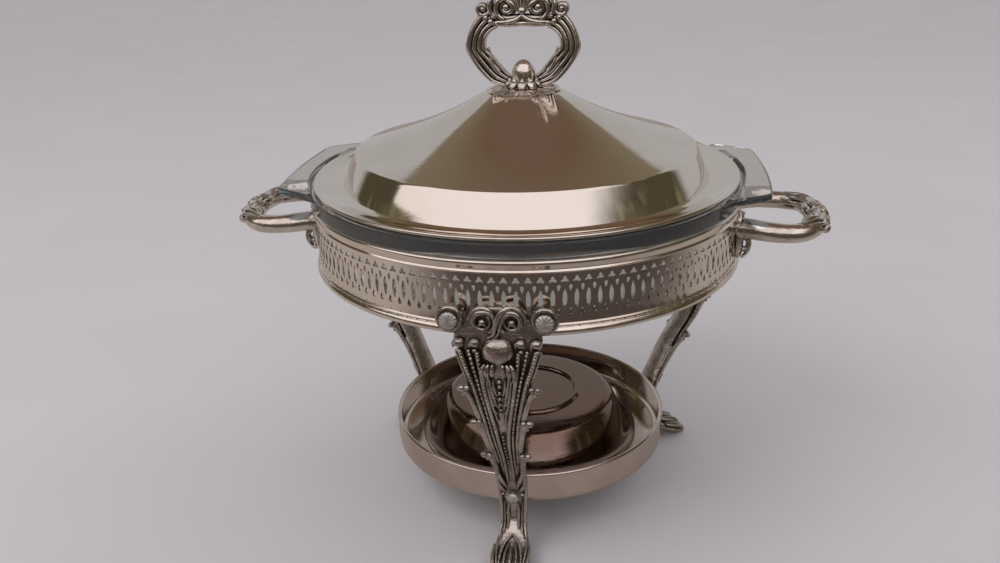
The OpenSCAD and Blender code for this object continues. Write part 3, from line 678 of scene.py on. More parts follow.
def legTop(whole):
    row, out, ring, scroll = leg["rowAt"], leg["scrollOut"], leg["socketRadius"], leg["scrollRadius"]
    for s in (-1, 1):
        # rivet socket: a deep ring with a crescent lip over it
        u = s * leg["socketOut"]
        rod(whole, curl((u, row), ring - 0.2, 0, 366, 1.0, onLeg(0.8), 28), [1.25] * 29, domed=False)
        rod(whole, curl((u, row), ring + 0.35, 35 if s > 0 else 0, 150, 1.0, onLeg(1.5), 14),
            taper(15, 0.5, 1.2, 0.5))
        ball(whole, legAt(u, row, -0.7), (4.8, 1.0, 4.8))
        rod(whole, curl((u, row), ring + 1.2, 215 if s > 0 else 250, 75, 1.0, onLeg(0.2), 10),
            taper(11, 0.4, 0.9, 0.4), sides=6)
        # C scroll with an eye
        u, z = s * out, row - 0.9
        start, sweep = (-58, 335) if s < 0 else (238, -335)
        rod(whole, curl((u, z), scroll, start, sweep, 0.62, onLeg(1.3), 34), taper(35, 0.8, 1.4, 0.8))
        rod(whole, curl((u, z), scroll * 0.66, start + 60 * s, sweep * 0.5, 0.8, onLeg(0.7), 18),
            taper(19, 0.4, 0.8, 0.5), sides=6)
        ball(whole, legAt(u + 0.3 * s, z - 0.2, 1.0), 1.75)
        ball(whole, legAt(u + 1.5 * s, z - 1.9, 0.9), 0.95, rough=1)
        ball(whole, legAt(u - 0.8 * s, z - 1.9, 0.8), 0.8, rough=1)
        ball(whole, legAt(u, z, -0.8), (6.0, 0.9, 6.0))
        # curled leaf heads under the row
        for at, size in ((17.8, 1.0), (10.4, 0.92)):
            pts = curl((s * at, 140.8), 2.7 * size, 200, -250, 0.4, onLeg(1.1), 16)
            rod(whole, pts, taper(17, 0.7, 1.35, 0.8), sides=7)
            ball(whole, legAt(s * at, 141.8, 1.1), (2.7 * size, 1.8, 2.3 * size))
            ball(whole, legAt(s * (at + 0.2), 138.0, 1.3), (1.4, 1.2, 1.1), rough=1)
    # strands that cross from the left scroll over the right one
    strand(whole, [(-4.2, 144.6, 1.2), (-1.6, 146.6, 1.8), (-0.6, 150.8, 2.1), (0.6, 155.2, 2.1), (3.4, 158.6, 1.9),
                   (7.4, 159.6, 1.7), (11.0, 157.6, 1.5), (12.9, 154.0, 1.2)], 0.6, 1.3, 0.6)
    strand(whole, [(-2.2, 143.9, 1.0), (0.4, 146.6, 1.6), (1.4, 150.6, 1.8), (3.0, 154.4, 1.8), (6.2, 156.6, 1.6),
                   (9.4, 155.6, 1.4), (10.8, 152.8, 1.2)],
           0.5, 1.0, 0.5, 7)
    strand(whole, [(-1.4, 155.6, 1.5), (-3.6, 158.4, 1.7), (-7.2, 159.0, 1.6), (-10.8, 157.2, 1.4),
                   (-12.6, 153.6, 1.0)], 0.6, 1.2, 0.6)
    # domed boss with broad leaves hanging round a hollow
    ball(whole, legAt(0, 137.6, 0.4), (7.6, 4.7, 7.2), rough=3)
    for side in (-1, 1):
        for u, drop, wide in ((2.7, 125.6, 1.3), (5.2, 122.8, 1.7), (7.4, 122.6, 1.4)):
            points = [(side * u * 0.82, 132.0, 4.0), (side * u * 0.98, 129.6, 4.3), (side * u, 126.8, 3.6),
                      (side * u * 0.9, drop, 1.8)]
            line = legLine(points, 3)
            rod(whole, line, taper(len(line), 0.8, wide, 0.6), sides=8)
            ball(whole, line[-1], wide * 0.6, rough=1)
            ball(whole, legAt(side * u * 0.97, 129.4, 5.0), 0.75, rough=1)


def legMiddle(whole):
    for s in (-1, 1):
        outer = [(17.4, 137.5, 0.8), (15.7, 131, 1.0), (13.7, 124.5, 1.1), (11.9, 118, 1.1), (10.2, 110, 1.1),
                 (8.7, 102, 1.1), (7.4, 93, 1.0), (6.4, 84, 0.9), (5.6, 74, 0.9), (5.0, 64, 0.8)]
        middle = [(13.4, 137.6, 0.4), (12.0, 131, 0.7), (10.4, 124, 0.8), (9.0, 116.5, 0.9), (7.4, 108, 0.9),
                  (6.0, 99, 0.9), (4.9, 90, 0.9), (4.1, 80, 0.9), (3.6, 70, 0.9), (3.2, 60, 0.8)]
        inner = [(9.4, 136.6, 0.9), (8.7, 130, 1.2), (7.8, 123, 1.3), (6.8, 115.5, 1.3), (5.4, 107, 1.3),
                 (4.0, 98.5, 1.3), (2.9, 90, 1.2), (2.2, 80, 1.2), (1.9, 70, 1.1), (1.7, 58, 1.0), (1.8, 46, 0.8)]
        for line, fat, thin in ((outer, 1.3, 0.7), (middle, 0.95, 0.55), (inner, 1.3, 0.6)):
            strand(whole, toSide(s, line), fat, fat * 0.85, thin)
        strand(whole, [(s * (u + 1.9), z - 0.6, h - 1.0) for u, z, h in outer[:7]], 0.8, 0.75, 0.5, 6)
        for line, count in ((outer, 24), (middle, 20), (inner, 22)):
            beadsAlong(whole, legLine([(s * u, z, h + 0.8) for u, z, h in line[:7]], 5), count, 1.12, 0.022)
        # three curling branches, each with a knobbed tip
        for horn in ([(16.9, 117.2, 1.6), (15.2, 115.6, 1.3), (13.4, 111.4, 0.9), (11.8, 105.6, 0.8),
                      (10.2, 98.6, 0.8), (8.8, 91, 0.7), (7.6, 82.5, 0.7), (6.6, 74, 0.6)],
                     [(12.3, 97.4, 1.8), (11.0, 95.8, 1.4), (9.7, 91.4, 1.0), (8.5, 85, 0.8), (7.5, 77.6, 0.8),
                      (6.8, 69.5, 0.7), (6.4, 61, 0.6)],
                     [(9.9, 72.6, 1.9), (8.9, 70.8, 1.5), (7.8, 66.4, 1.0), (7.0, 60.6, 0.8), (6.6, 54, 0.7),
                      (6.6, 46.5, 0.6), (6.9, 39, 0.5)]):
            strand(whole, toSide(s, horn), 1.3, 1.6, 0.8)
            u, z, h = horn[0]
            ball(whole, legAt(s * (u + 0.9), z + 0.9, h + 0.2), (2.0, 1.6, 1.8))
            ball(whole, legAt(s * (u - 1.8), z + 1.5, h + 0.7), (1.5, 1.3, 1.4))
            ball(whole, legAt(s * (u - 0.4), z - 2.2, h + 0.2), (1.3, 1.1, 1.5), rough=1)
        # veined leaf panel between the inner ribs
        for points in ([(6.2, 127.5, 0.9), (5.6, 121, 1.1), (4.6, 113.5, 1.2), (3.3, 105.5, 1.1), (1.5, 98, 1.0)],
                       [(4.6, 124.4, 0.9), (4.1, 119, 1.1), (3.0, 113, 1.1), (1.7, 107.5, 0.9)],
                       [(2.8, 122.4, 0.8), (2.6, 118, 0.9), (1.5, 113.6, 0.8)]):
            strand(whole, toSide(s, points), 0.5, 0.95, 0.35, 6)
        for k in range(5):
            strand(whole, [(s * (5.6 - k * 0.75), 122 - k * 5, 0.9), (s * (3.6 - k * 0.45), 118.4 - k * 4.8, 1.2),
                           (s * 1.4, 116.4 - k * 4.4, 0.7)],
                   0.35, 0.6, 0.3, 6)
    beadsAlong(whole, legLine([(0, 121.5, 0.8), (0, 112, 0.9), (0, 103, 0.8)]), 7, 1.25, 0.08)
    beadsAlong(whole, legLine([(0, 88, 1.0), (0, 76, 1.0), (0, 64.5, 0.9)]), 9, 0.95, 0.03)


def legShank(whole):
    for s in (-1, 1):
        for points, fat in (([(6.4, 56, 0.7), (5.4, 51, 1.3), (4.0, 46, 1.5), (2.8, 41.5, 1.1)], 1.25),
                            ([(7.2, 49, 0.6), (6.4, 44, 1.4), (5.0, 40, 1.5), (3.9, 37.6, 1.0)], 1.3),
                            ([(7.4, 42, 0.3), (6.9, 37, 1.0), (6.6, 31, 1.2), (6.3, 24, 1.0), (6.1, 17.5, 0.7),
                              (7.2, 12, 0.4)], 1.15),
                            ([(2.3, 28.4, 0.6), (2.9, 25, 1.0), (2.8, 20, 1.0), (3.0, 15, 0.5)], 1.0),
                            ([(4.9, 29.5, 0.3), (4.7, 24, 0.7), (4.5, 18, 0.6), (5.0, 13.5, 0.3)], 0.7),
                            ([(9.2, 9.6, 0.0), (9.6, 7.6, 0.2), (8.6, 5.4, 0.3), (7.4, 3.6, 0.0)], 1.2),
                            ([(0.2, 12.6, 0.8), (2.6, 11, 1.1), (4.6, 9.0, 1.1), (5.7, 6.8, 0.8), (5.6, 4.4, 0.3)],
                             0.95),
                            ([(1.2, 10.0, 0.8), (2.7, 8.3, 1.1), (3.2, 6.2, 0.9), (2.8, 4.0, 0.3)], 0.8),
                            ([(7.8, 9.8, 0.5), (7.6, 7.6, 0.8), (6.9, 5.4, 0.6)], 0.8)):
            strand(whole, toSide(s, points), fat * 0.5, fat, fat * 0.5, 7)
        ball(whole, legAt(s * 5.2, 36.4, 1.4), (1.4, 1.1, 1.2), rough=1)
        ball(whole, legAt(s * 6.9, 46.6, 1.2), (1.2, 1.1, 1.4), rough=1)
    strand(whole, [(0, 9.0, 0.9), (0, 6.8, 1.2), (0, 4.4, 0.8)], 0.6, 1.2, 0.7, 7)


legShape = bmesh.new()
for shape in (legPlate, legTop, legMiddle, legShank):
    shape(legShape)
for v in legShape.verts:
    v.co.z = max(v.co.z, 0.0)
for name, node, degrees in (("legFront", "leg_front", 0), ("legRearRight", "leg_rear_right", 120),
                            ("legRearLeft", "leg_rear_left", 240)):
    piece = finishPiece(name, turned(legShape, degrees), "stand", silverCast, sharp=70)
    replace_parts(piece, node)
print("legs made")


def rivetHead(radius, tall, flutes):
    # a domed head on +Z, its skirt at z = 0
    line = flow([(0, tall), (radius * 0.45, tall * 0.93), (radius * 0.8, tall * 0.66), (radius * 0.97, tall * 0.28),
                 (radius, 0)], 3)
    bm = lathe(line + [(radius * 0.98, -0.05), (0, -0.05)], 56 if flutes else 32)
    if flutes:
        for v in bm.verts:
            r = v.co.to_2d().length / mm
            a = math.atan2(v.co.y, v.co.x)
            wave = 0.5 + 0.5 * math.cos(a * flutes)
            if v.co.z > 0.01 * mm:
                v.co.z += (wave - 0.5) * 0.32 * mm * min(1, r / radius * 1.4)
            v.co.xy = v.co.xy * (1 - 0.05 * (1 - wave) * min(1, r / radius))
    return bm


def shank(length, radius=1.6):
    bm = bmesh.new()
    bmesh.ops.create_cone(bm, cap_ends=True, segments=20, radius1=radius * mm, radius2=radius * mm, depth=length * mm,
                          matrix=Matrix.Translation((0, 0, -length * mm / 2)))
    return bm


def makeRivet(head, at, direction, length):
    # the head's underside sits at the point; the shank runs back from it to a small inner head
    whole = bmesh.new()
    addTo(whole, head)
    addTo(whole, shank(length))
    back = rivetHead(rivets["innerRadius"], rivets["innerTall"], 0)
    bmesh.ops.transform(back, verts=back.verts, matrix=Matrix.Translation((0, 0,
                                                                           -length * mm)) @ Matrix.Rotation(math.pi,
                                                                                                            4, "X"))
    addTo(whole, back)
    turn = Vector((0, 0, 1)).rotation_difference(Vector(direction)).to_matrix().to_4x4()
    bmesh.ops.transform(whole, verts=whole.verts, matrix=Matrix.Translation(Vector(at) * mm) @ turn)
    return whole


def makeLegRivets():
    face = -socketBox[0].y / mm - rivets["headRoom"]
    depth = (socketBox[1].y - socketBox[0].y) / mm - rivets["bothHeads"]
    pair = bmesh.new()
    for s in (-1, 1):
        head = rivetHead(rivets["headRadius"], rivets["headTall"], rivets["flutes"])
        addTo(pair, makeRivet(head, (s * leg["socketOut"], -face, leg["rowAt"]), (0, -1, 0), depth))
    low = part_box("tray_rivet_front")
    face = -low[0].y / mm - rivets["headRoom"]
    height = (low[0].z + low[1].z) / 2 / mm
    depth = (low[1].y - low[0].y) / mm - rivets["bothHeads"]
    single = makeRivet(rivetHead(rivets["trayRadius"], rivets["trayTall"], 0), (0, -face, height), (0, -1, 0), depth)
    for tag, name, degrees in (("front", "Front", 0), ("rear_right", "RearRight", 120),
                               ("rear_left", "RearLeft", 240)):
        piece = finishPiece("socketRivets" + name, turned(pair, degrees), "stand", rivetMetal,
                            sharp=60)
        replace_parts(piece, "socket_rivets_" + tag)
        piece = finishPiece("trayRivet" + name, turned(single, degrees), "stand", rivetMetal, sharp=60)
        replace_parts(piece, "tray_rivet_" + tag)


makeLegRivets()
print("rivets made")


# the handle is drawn at +X, then turned
handleBox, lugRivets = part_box("handle_right"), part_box("handle_rivets_right")
handle = {"reach": handleBox[1].x / mm, "armOut": lugRivets[1].y / mm - rivets["boxHalf"],
          "height": galleryLow + 22.5, "armRadius": 5.0, "bowed": handleBox[1].y / mm - 5.0,
          # each strand's place across the grip, its lift and its radius
          "strands": [(-5.2, 1.4, 1.3), (-3.1, 3.4, 1.4), (-0.9, 4.3, 1.5), (1.4, 4.2, 1.5), (3.5, 2.9, 1.4),
                      (4.7, 0.6, 1.3)]}


def makeHandle():
    whole = bmesh.new()
    reach, y, z, thick = handle["reach"], handle["armOut"], handle["height"], handle["armRadius"]
    wide = handle["bowed"]
    wall = math.sqrt(galleryRadius ** 2 - y * y)
    up = (0, 0, 1)
    for s in (-1, 1):
        radial = (wall, s * y, 0)
        # leaf-shaped plate flat against the wall
        plate = bmesh.new()
        rows = [(8.6, 1.2, 1.2), (7.2, 2.8, 1.7), (4, 4.0, 2.2), (0, 4.5, 2.5), (-5, 4.5, 2.5), (-9.5, 4.0, 2.3),
                (-13, 3.0, 1.9), (-15.4, 1.4, 1.3)]
        rod(plate, [(wall + 1.3, s * y, z + h) for h, w, d in rows], [(w, d) for h, w, d in rows], sides=14,
            facing=radial)
        for dy, dz, size in ((-2.6, 5.8, 1.1), (2.6, 5.8, 1.1), (0, 8.0, 1.1), (-2.6, -14.0, 1.0), (2.6, -14.0, 1.0)):
            ball(plate, (wall + 2.6, s * y + dy, z + dz), size, rough=1)
        clear = (galleryRadius + 0.05) * mm
        for v in plate.verts:
            r = v.co.to_2d().length
            if r < clear:
                v.co.xy = v.co.xy * (clear / r)
        addTo(whole, plate)
        # smooth arm, fullest half way out
        arm = flow([(wall + 2.2, s * (y + 0.4), z), (119.5, s * (y + 2.6), z + 0.3),
                    (127.5, s * (wide - 0.6), z + 0.1), (136, s * wide, z - 0.4), (144, s * (wide - 1.6), z - 0.5),
                    (150.4, s * (wide - 6.6), z - 0.2), (154.4, s * (wide - 13.6), z)], 5)
        n = len(arm) - 1
        swell = [(0, 1.08), (0.15, 1.06), (0.5, 0.98), (0.75, 0.96), (1, 0.8)]
        rod(whole, arm, [thick * between(swell, i / n) for i in range(n + 1)], sides=18, facing=up)
        ball(whole, (wall + 2.6, s * y, z), (2.4, 5.2, 5.4))
        # small leaf under the arm beside the plate
        leaf = flow([(wall + 4.4, s * (y + 0.8), z - 4.4), (wall + 6.4, s * (y + 1.0), z - 7.8),
                     (wall + 5.6, s * (y + 0.8), z - 12.6), (wall + 3.2, s * y, z - 16.4)], 4)
        wides, thicks = [(0, 1.6), (0.45, 2.6), (1, 0.6)], [(0, 1.6), (0.5, 1.3), (1, 0.5)]
        rod(whole, leaf, [(between(wides, i / 12), between(thicks, i / 12)) for i in range(13)], facing=(1, 0, 0))
        # wavy strands wrap the outer corner and run to the middle
        route = [(143.0, wide - 1.6), (147.6, wide - 4.6), (151.2, wide - 9.0), (153.2, wide - 13.8), (154.4, 10.2),
                 (155.0, 5.8), (155.2, 1.4)]
        for k, (across, lift, fat) in enumerate(handle["strands"]):
            pts = []
            for along, (x, q) in enumerate(route):
                outward = Vector((x - 134, q * 0.5)).normalized()
                grip = across * (0.7 if along < 1 else 1) + 1.1 * math.sin(along * 1.9 + k * 0.8)
                pts.append((x + outward.x * grip, s * (q + outward.y * grip),
                            z + lift + 0.5 * math.cos(along * 2.1 + k)))
            line = flow(pts, 5)
            rod(whole, line, taper(len(line), fat * 0.45, fat, fat * 0.8), facing=up)
        # scrolls and knobs on the outer side
        scroll = curl((reach - 6.2, s * 13.4), 3.9, -90 * s, 310 * s, 0.42, lambda a, b: (a, b, z + 2.4), 22)
        rod(whole, scroll, taper(23, 0.8, 1.45, 0.8), facing=up)
        ball(whole, (reach - 6.2, s * 13.4, z + 1.6), (2.2, 2.2, 2.6))
        ball(whole, (reach - 2.0, s * 6.0, z + 0.4), (1.8, 1.6, 2.0))
        ball(whole, (reach - 2.6, s * 10.6, z - 0.6), (1.7, 1.5, 1.8))
        ball(whole, (reach - 4.6, s * 18.4, z - 1.0), (2.6, 2.3, 2.7))
        ball(whole, (reach - 9.6, s * 22.6, z - 1.4), (2.5, 2.3, 2.5))
        ball(whole, (reach - 11.0, s * 20.6, z + 3.6), (1.6, 1.6, 1.3))
        for a in (12, 42, 74):
            c, d = math.cos(math.radians(a)), math.sin(math.radians(a))
            petal = flow([(reach - 8.2, s * 0.8, z + 3.6), (reach - 7.6 + 3.8 * c, s * (0.8 + 3.6 * d), z + 4.2),
                          (reach - 8.0 + 7.0 * c, s * (0.8 + 5.6 * d), z + 1.4)], 4)
            rod(whole, petal, taper(len(petal), 0.8, 1.45, 0.9), facing=up)
    bar = flow([(152.6, -18, z), (154.8, -10, z), (155.6, 0, z), (154.8, 10, z), (152.6, 18, z)], 4)
    rod(whole, bar, [(6.0, 4.1)] * len(bar), sides=16, facing=up)
    ball(whole, (reach - 5.6, 0, z + 0.8), (4.4, 3.6, 4.2), rough=3)
    for v in whole.verts:
        v.co.x = min(v.co.x, reach * mm)
    return whole


def makeHandles():
    shape = makeHandle()
    for name, node, degrees in (("handleRight", "handle_right", 0), ("handleLeft", "handle_left", 180)):
        piece = finishPiece(name, turned(shape, degrees), "stand", silverBright, sharp=70)
        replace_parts(piece, node)
    face = lugRivets[1].x / mm - rivets["headRoom"]
    depth = (lugRivets[1].x - lugRivets[0].x) / mm - rivets["bothHeads"]
    height = (lugRivets[0].z + lugRivets[1].z) / 2 / mm
    pair = bmesh.new()
    for s in (-1, 1):
        head = rivetHead(rivets["lugRadius"], rivets["lugTall"], 0)
        addTo(pair, makeRivet(head, (face, s * handle["armOut"], height), (1, 0, 0), depth))
    for name, node, degrees in (("handleRivetsRight", "handle_rivets_right", 0),
                                ("handleRivetsLeft", "handle_rivets_left", 180)):
        piece = finishPiece(name, turned(pair, degrees), "stand", rivetMetal, sharp=60)
        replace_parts(piece, node)


makeHandles()
print("handles made")


loopBox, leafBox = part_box("finial_loop"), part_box("finial_leaf")
finial = {"half": loopBox[1].x / mm, "low": loopBox[0].z / mm, "top": loopBox[1].z / mm,
          "leafLow": leafBox[0].z / mm, "leafRadius": leafBox[1].x / mm + 0.6, "budFlutes": 7}


def makeLeafPlate():
    low = finial["leafLow"]
    radius = finial["leafRadius"]
    line = flow([(0, low + 2.1), (8, low + 2.1), (13, low + 1.6), (17, low + 1.0), (radius - 0.5, low + 0.75)], 4)
    bm = lathe(line + [(radius, low + 0.5), (radius - 0.5, low), (17, low), (2.6, low), (0, low)], 160)
    for v in bm.verts:
        r = v.co.to_2d().length / mm
        a = math.atan2(v.co.y, v.co.x)
        lobes = abs(math.cos(a * 5 + 0.4))
        if r > 9:
            share = (r - 9) / (radius - 9)
            v.co.xy = v.co.xy * (1 - 0.09 * share * (1 - lobes ** 0.6))
            if v.co.z > (low + 0.6) * mm:
                v.co.z += (lobes - 0.5) * 0.5 * share * mm
    whole = bmesh.new()
    addTo(whole, bm)
    for i in range(10):
        a = (math.pi * i - 0.4) / 5
        for spreadOut in (-0.14, 0, 0.14):
            t = a + spreadOut
            rib = []
            for r in (9, 11.5, 14, 17):
                fan = a + (t - a) * r / 18
                rib.append((r * math.cos(fan), r * math.sin(fan), low + 2.6 - r * 0.075))
            rod(whole, rib, taper(4, 0.4, 0.5, 0.3), sides=6, facing=(0, 0, 1))
    piece = finishPiece("finialLeaf", whole, "cover", silverBright, sharp=60)
    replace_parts(piece, "finial_leaf")


def reed(whole, points, wide, deep, ends, sides=12):
    line = flow(points, 5)
    n = len(line) - 1
    rod(whole, line, [(wide * between(ends, i / n), deep * between(ends, i / n)) for i in range(n + 1)], sides=sides)


def makeSheaf(whole, s, low, half):
    # each side of the loop is a sheaf of reeds that swells at the shoulder
    ends = [(0, 0.62), (0.5, 1.05), (1, 0.75)]
    for points, fat in (([(9.6, 0.8), (16.6, 3.2), (23.0, 10.0), (27.5, 17.4), (28.2, 22.2), (26.4, 28.6),
                          (23.0, 34.0), (19.4, 37.6)], 1.8),
                        ([(8.8, 2.4), (14.8, 5.4), (20.6, 11.8), (24.8, 17.8), (25.4, 22.4), (23.8, 27.8),
                          (20.6, 32.4), (16.6, 35.4)], 1.75),
                        ([(8.0, 4.0), (12.8, 7.4), (18.2, 13.6), (22.2, 18.4), (22.8, 22.4), (21.4, 27.0),
                          (18.4, 30.8), (14.4, 33.0)], 1.65),
                        ([(7.2, 5.4), (11.2, 9.2), (16.4, 15.4), (20.2, 19.4), (20.6, 22.6), (19.6, 26.0),
                          (17.0, 29.0), (13.4, 30.9)], 1.3)):
        reed(whole, [(s * x, 0, low + z) for x, z in points], fat, 3.4, ends)
    reed(whole, [(s * 25.6, 0, low + 14.2), (s * 28.4, 0, low + 18.0), (s * (half - 0.5), 0, low + 21.2),
                 (s * 28.9, 0, low + 23.6)], 1.4, 2.4, [(0, 0.9), (0.6, 1.0), (1, 0.5)])
    reed(whole, [(s * 12.4, 0, low + 8.4), (s * 15.4, 0, low + 11.6), (s * 17.6, 0, low + 16.4),
                 (s * 17.9, 0, low + 20.0)], 1.5, 2.8, [(0, 0.9), (0.5, 1.1), (1, 0.3)], 8)


def makeCrest(whole, s, low):
    for depth in (-2.4, 2.4):
        def place(a, b):
            return (s * a, depth, low + b)

        # ear volute, large C scroll and the beads between them
        rod(whole, curl((20.4, 39.6), 3.5, 200, 400, 0.3, place, 26), taper(27, 0.9, 1.3, 0.6))
        ball(whole, (s * 20.4, depth, low + 39.6), (1.4, 1.2, 1.4))
        rod(whole, curl((8.2, 40.4), 6.1, -75, 395, 0.34, place, 34), taper(35, 1.1, 1.7, 0.7))
        ball(whole, (s * 8.2, depth, low + 40.4), (1.9, 1.5, 1.9))
        rod(whole, flow([(s * 13.8, depth, low + 35.6), (s * 16.6, depth, low + 38.8), (s * 16.2, depth, low + 43.6),
                         (s * 12.8, depth, low + 47.0)], 4),
            taper(13, 0.9, 1.6, 0.7))
        rod(whole, flow([(0, depth * 1.1, low + 36.4), (s * 3.4, depth * 1.2, low + 34.2),
                         (s * 8.6, depth * 1.2, low + 33.0), (s * 14.0, depth, low + 33.2)], 5),
            taper(16, 0.9, 1.35, 0.6))
        for x, z, size in ((16.4, 33.4, 1.6), (13.4, 32.6, 1.3), (19.0, 35.2, 1.5), (15.0, 35.8, 1.2)):
            ball(whole, (s * x, depth, low + z), size)
    ball(whole, (s * 20.4, 0, low + 39.6), (3.4, 2.2, 3.4))
    ball(whole, (s * 8.2, 0, low + 40.6), (5.6, 1.9, 5.6), rough=3)


def makeLoop():
    whole = bmesh.new()
    low, top, half = finial["low"], finial["top"], finial["half"]
    for s in (-1, 1):
        makeSheaf(whole, s, low, half)
        makeCrest(whole, s, low)
    bar = flow([(-15, 0, low + 32.4), (-8, 0, low + 32.0), (0, 0, low + 32.3), (8, 0, low + 32.0),
                (15, 0, low + 32.4)], 5)
    rod(whole, bar, [(1.7, 3.0)] * len(bar), sides=12)
    rod(whole, [(p[0], 0, p[2] + 2.6) for p in bar], [(2.2, 2.0)] * len(bar), sides=12)
    for depth in (-3.0, 3.0):
        for a in (-52, -35, -17.5, 0, 17.5, 35, 52):
            t = math.radians(a)
            reach = (top - low - 38.5) * (1 - 0.0032 * abs(a))
            over, up = math.sin(t), math.cos(t)
            petal = flow([(over * 2, depth * 0.8, low + 38.5),
                          (over * reach * 0.55, depth, low + 38.5 + up * reach * 0.5),
                          (over * reach * 0.92, depth * 0.55, low + 38.5 + up * (reach - 1.2))], 4)
            rod(whole, petal, taper(len(petal), 0.7, 1.5, 1.1))
        ball(whole, (0, depth * 1.1, low + 38.6), (2.0, 1.2, 2.0))
    ball(whole, (0, 0, low + 45.0), (8.2, 2.3, 7.0), rough=3)
    # foot: a low cone, with upright leaves round the bud
    foot = flow([(0, low + 3.2), (5.4, low + 3.2), (6.6, low + 2.4), (8.0, low + 1.3), (9.6, low + 0.05)], 4)
    addTo(whole, lathe(foot + [(0, low + 0.05)], 96))
    for i in range(10):
        t = math.radians(i * 36 + 18)
        c, d = math.cos(t), math.sin(t)
        petal = flow([(r * c, r * d, low + up) for r, up in ((9.7, 0.3), (9.0, 1.8), (7.7, 3.0), (7.5, 3.9))], 4)
        widths = [between([(0, 2.0), (0.5, 2.5), (1, 1.0)], k / 12) for k in range(13)]
        rod(whole, petal, [(w, 1.0) for w in widths], facing=(c, d, 0.3))
    for v in whole.verts:
        v.co.z = max(min(v.co.z, top * mm), (low - 0.04) * mm)
        v.co.x = max(-half * mm, min(half * mm, v.co.x))
    piece = finishPiece("finialLoop", whole, "cover", silverBright, sharp=70)
    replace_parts(piece, "finial_loop")


def makeBud():
    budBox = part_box("finial_bud")
    low, top = budBox[0].z / mm, budBox[1].z / mm - 0.7
    tall = top - low
    bm = lathe(flow([(0, low - 2.6), (5.6, low - 2.6), (6.3, low - 1), (6.3, low + 1.4), (5.9, low + tall * 0.42),
                     (4.9, low + tall * 0.68), (3.2, low + tall * 0.88), (1.2, top - 0.2), (0, top)], 6), 96)
    for v in bm.verts:
        a = math.atan2(v.co.y, v.co.x)
        share = min(1, v.co.to_2d().length / mm / 3.5)
        v.co.xy = v.co.xy * (1 - 0.025 * share * (0.5 - 0.5 * math.cos(a * finial["budFlutes"])))
    piece = finishPiece("finialBud", bm, "cover", silverBright, sharp=70)
    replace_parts(piece, "finial_bud")


makeLeafPlate()
makeLoop()
makeBud()
for node in ("finial_screw", "finial_washer", "finial_nut"):
    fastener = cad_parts[node]
    fastener.data.materials.clear()
    fastener.data.materials.append(fastenerSteel)
print("finial made")


# the last two colours are painted shade on the cloth, seen only in polished metal
table = {"size": 14.0, "drop": 0.0002, "edge": -0.25, "fade": 0.2, "dim": (0.075, 0.055, 0.045),
         "mirrored": (0.50, 0.44, 0.40)}


def makeTable():
    bm = bmesh.new()
    bmesh.ops.create_grid(bm, x_segments=4, y_segments=4, size=table["size"] / 2,
                          matrix=Matrix.Translation((0, 0, -table["drop"])))
    mesh = bpy.data.meshes.new("tableCloth")
    bm.to_mesh(mesh)
    bm.free()
    cloth = bpy.data.materials.new("tableCloth")
    cloth.use_nodes = True
    nodes, links = cloth.node_tree.nodes, cloth.node_tree.links
    shader = nodes["Principled BSDF"]
    shader.inputs["Roughness"].default_value = 0.9
    coords = nodes.new("ShaderNodeTexCoord")
    weave = nodes.new("ShaderNodeTexNoise")
    weave.inputs["Scale"].default_value = 7
    weave.inputs["Detail"].default_value = 6
    links.new(coords.outputs["Object"], weave.inputs["Vector"])
    pale = mixColour(nodes, links, weave.outputs["Fac"], (0.66, 0.635, 0.66), (0.72, 0.70, 0.72))
    # painted shade in reflections: polished metal sees the cloth darker and warmer than the camera does, and dim
    # where the cloth falls into shade in front of the set
    slant = nodes.new("ShaderNodeVectorMath")
    slant.operation = "DOT_PRODUCT"
    slant.inputs[1].default_value = (-0.4, 1, 0)
    links.new(coords.outputs["Object"], slant.inputs[0])
    shadedFront = spread(nodes, links, slant.outputs["Value"], table["edge"] - table["fade"], table["edge"] + table["fade"],
                  1, 0)
    path = nodes.new("ShaderNodeLightPath")
    mirrored = mixColour(nodes, links, shadedFront, table["mirrored"], table["dim"])
    links.new(mixColour(nodes, links, path.outputs["Is Glossy Ray"], pale, mirrored), shader.inputs["Base Color"])
    mesh.materials.append(cloth)
    piece = bpy.data.objects.new("tableCloth", mesh)
    bpy.context.scene.collection.objects.link(piece)


makeTable()

room = {"pale": (0.44, 0.43, 0.43), "ceiling": (0.155, 0.10, 0.070), "beam": (0.20, 0.17, 0.115),
        "dim": (0.075, 0.062, 0.038), "stripe": (0.20, 0.17, 0.105), "window": (0.95, 0.87, 0.86),
        "backdrop": (0.48, 0.485, 0.495), "soft": (0.56, 0.55, 0.56), "through": (0.22, 0.23, 0.24)}


def product(nodes, links, *factors):
    value = factors[0]
    for factor in factors[1:]:
        node = nodes.new("ShaderNodeMath")
        node.operation = "MULTIPLY"
        links.new(value, node.inputs[0])
        links.new(factor, node.inputs[1])
        value = node.outputs[0]
    return value


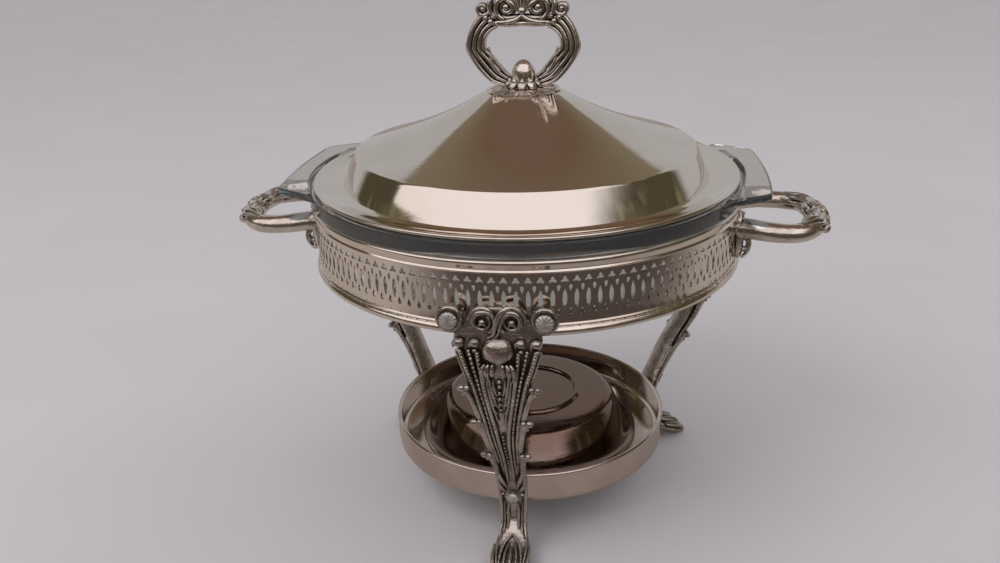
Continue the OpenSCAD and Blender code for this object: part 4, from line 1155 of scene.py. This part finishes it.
def makeRoom():
    # pale cloth behind, a dim striped room beside and in front, one wide window, a brown ceiling
    world = bpy.data.worlds.new("room")
    bpy.context.scene.world = world
    world.use_nodes = True
    nodes, links = world.node_tree.nodes, world.node_tree.links
    coords = nodes.new("ShaderNodeTexCoord")
    split = nodes.new("ShaderNodeSeparateXYZ")
    links.new(coords.outputs["Generated"], split.inputs["Vector"])
    x, y, z = split.outputs
    stripes = nodes.new("ShaderNodeTexNoise")
    stripes.inputs["Scale"].default_value = 4.5
    squash = nodes.new("ShaderNodeMapping")
    squash.inputs["Scale"].default_value = (1, 1, 0.15)
    links.new(coords.outputs["Generated"], squash.inputs["Vector"])
    links.new(squash.outputs["Vector"], stripes.inputs["Vector"])
    dim = mixColour(nodes, links, spread(nodes, links, stripes.outputs["Fac"], 0.5, 0.62, 0, 1), room["dim"],
                    room["stripe"])
    slope = nodes.new("ShaderNodeMath")
    slope.operation = "MULTIPLY_ADD"
    links.new(x, slope.inputs[0])
    slope.inputs[1].default_value = 0.09
    links.new(z, slope.inputs[2])
    high = spread(nodes, links, slope.outputs[0], 0.53, 0.555, 0, 1)
    above = mixColour(nodes, links, spread(nodes, links, slope.outputs[0], 0.55, 0.8, 0, 1), room["beam"],
                      room["ceiling"])
    colour = mixColour(nodes, links, high, room["pale"], above)
    around = product(nodes, links, spread(nodes, links, y, 0.40, 0.56, 1, 0),
                     spread(nodes, links, z, 0.70, 0.80, 1, 0))
    colour = mixColour(nodes, links, around, colour, dim)
    pane = product(nodes, links, spread(nodes, links, x, 0.60, 0.92, 1, 0),
                   spread(nodes, links, y, -0.13, -0.09, 1, 0), spread(nodes, links, z, 0.24, 0.30, 0, 1),
                   spread(nodes, links, z, 0.93, 0.97, 1, 0))
    colour = mixColour(nodes, links, pane, colour, room["window"])
    path = nodes.new("ShaderNodeLightPath")
    for ray, tone in (("Is Transmission Ray", "through"), ("Is Diffuse Ray", "soft"), ("Is Camera Ray", "backdrop")):
        colour = mixColour(nodes, links, path.outputs[ray], colour, room[tone])
    links.new(colour, nodes["Background"].inputs["Color"])


# sizes and places of the lamps are in metres
lamps = {"keyWindow": {"at": (-0.9, -0.9, 1.5), "size": 1.2, "watts": 9, "tint": (1.0, 0.98, 0.96)},
         "fillWindow": {"at": (1.2, 0.4, 1.2), "size": 1.0, "watts": 2, "tint": (0.96, 0.97, 1.0)}}


def makeLights():
    for name, lamp in lamps.items():
        data = bpy.data.lights.new(name, "AREA")
        data.size = lamp["size"]
        data.energy = lamp["watts"]
        data.color = lamp["tint"]
        light = bpy.data.objects.new(name, data)
        light.location = lamp["at"]
        towards = Vector((0, 0, 0.12)) - Vector(lamp["at"])
        light.rotation_euler = towards.to_track_quat("-Z", "Y").to_euler()
        light.visible_glossy = False  # the room's own window is what the metal mirrors
        bpy.context.scene.collection.objects.link(light)


makeRoom()
makeLights()

view = {"at": (0.05745, -0.49070, 0.32499), "heading": 8.50, "down": 22.21, "lean": -1.73, "lens": 33.4}


def makeCamera():
    data = bpy.data.cameras.new("camera")
    data.lens = view["lens"]
    data.sensor_width = 36
    data.clip_start = 0.01
    camera = bpy.data.objects.new("camera", data)
    turn = Matrix.Rotation(math.radians(view["heading"]), 4, "Z")
    turn = turn @ Matrix.Rotation(math.radians(90 - view["down"]), 4, "X")
    camera.matrix_world = Matrix.Translation(view["at"]) @ turn @ Matrix.Rotation(math.radians(view["lean"]), 4, "Z")
    bpy.context.scene.collection.objects.link(camera)
    bpy.context.scene.camera = camera


makeCamera()
bpy.context.scene.view_settings.view_transform = "Standard"
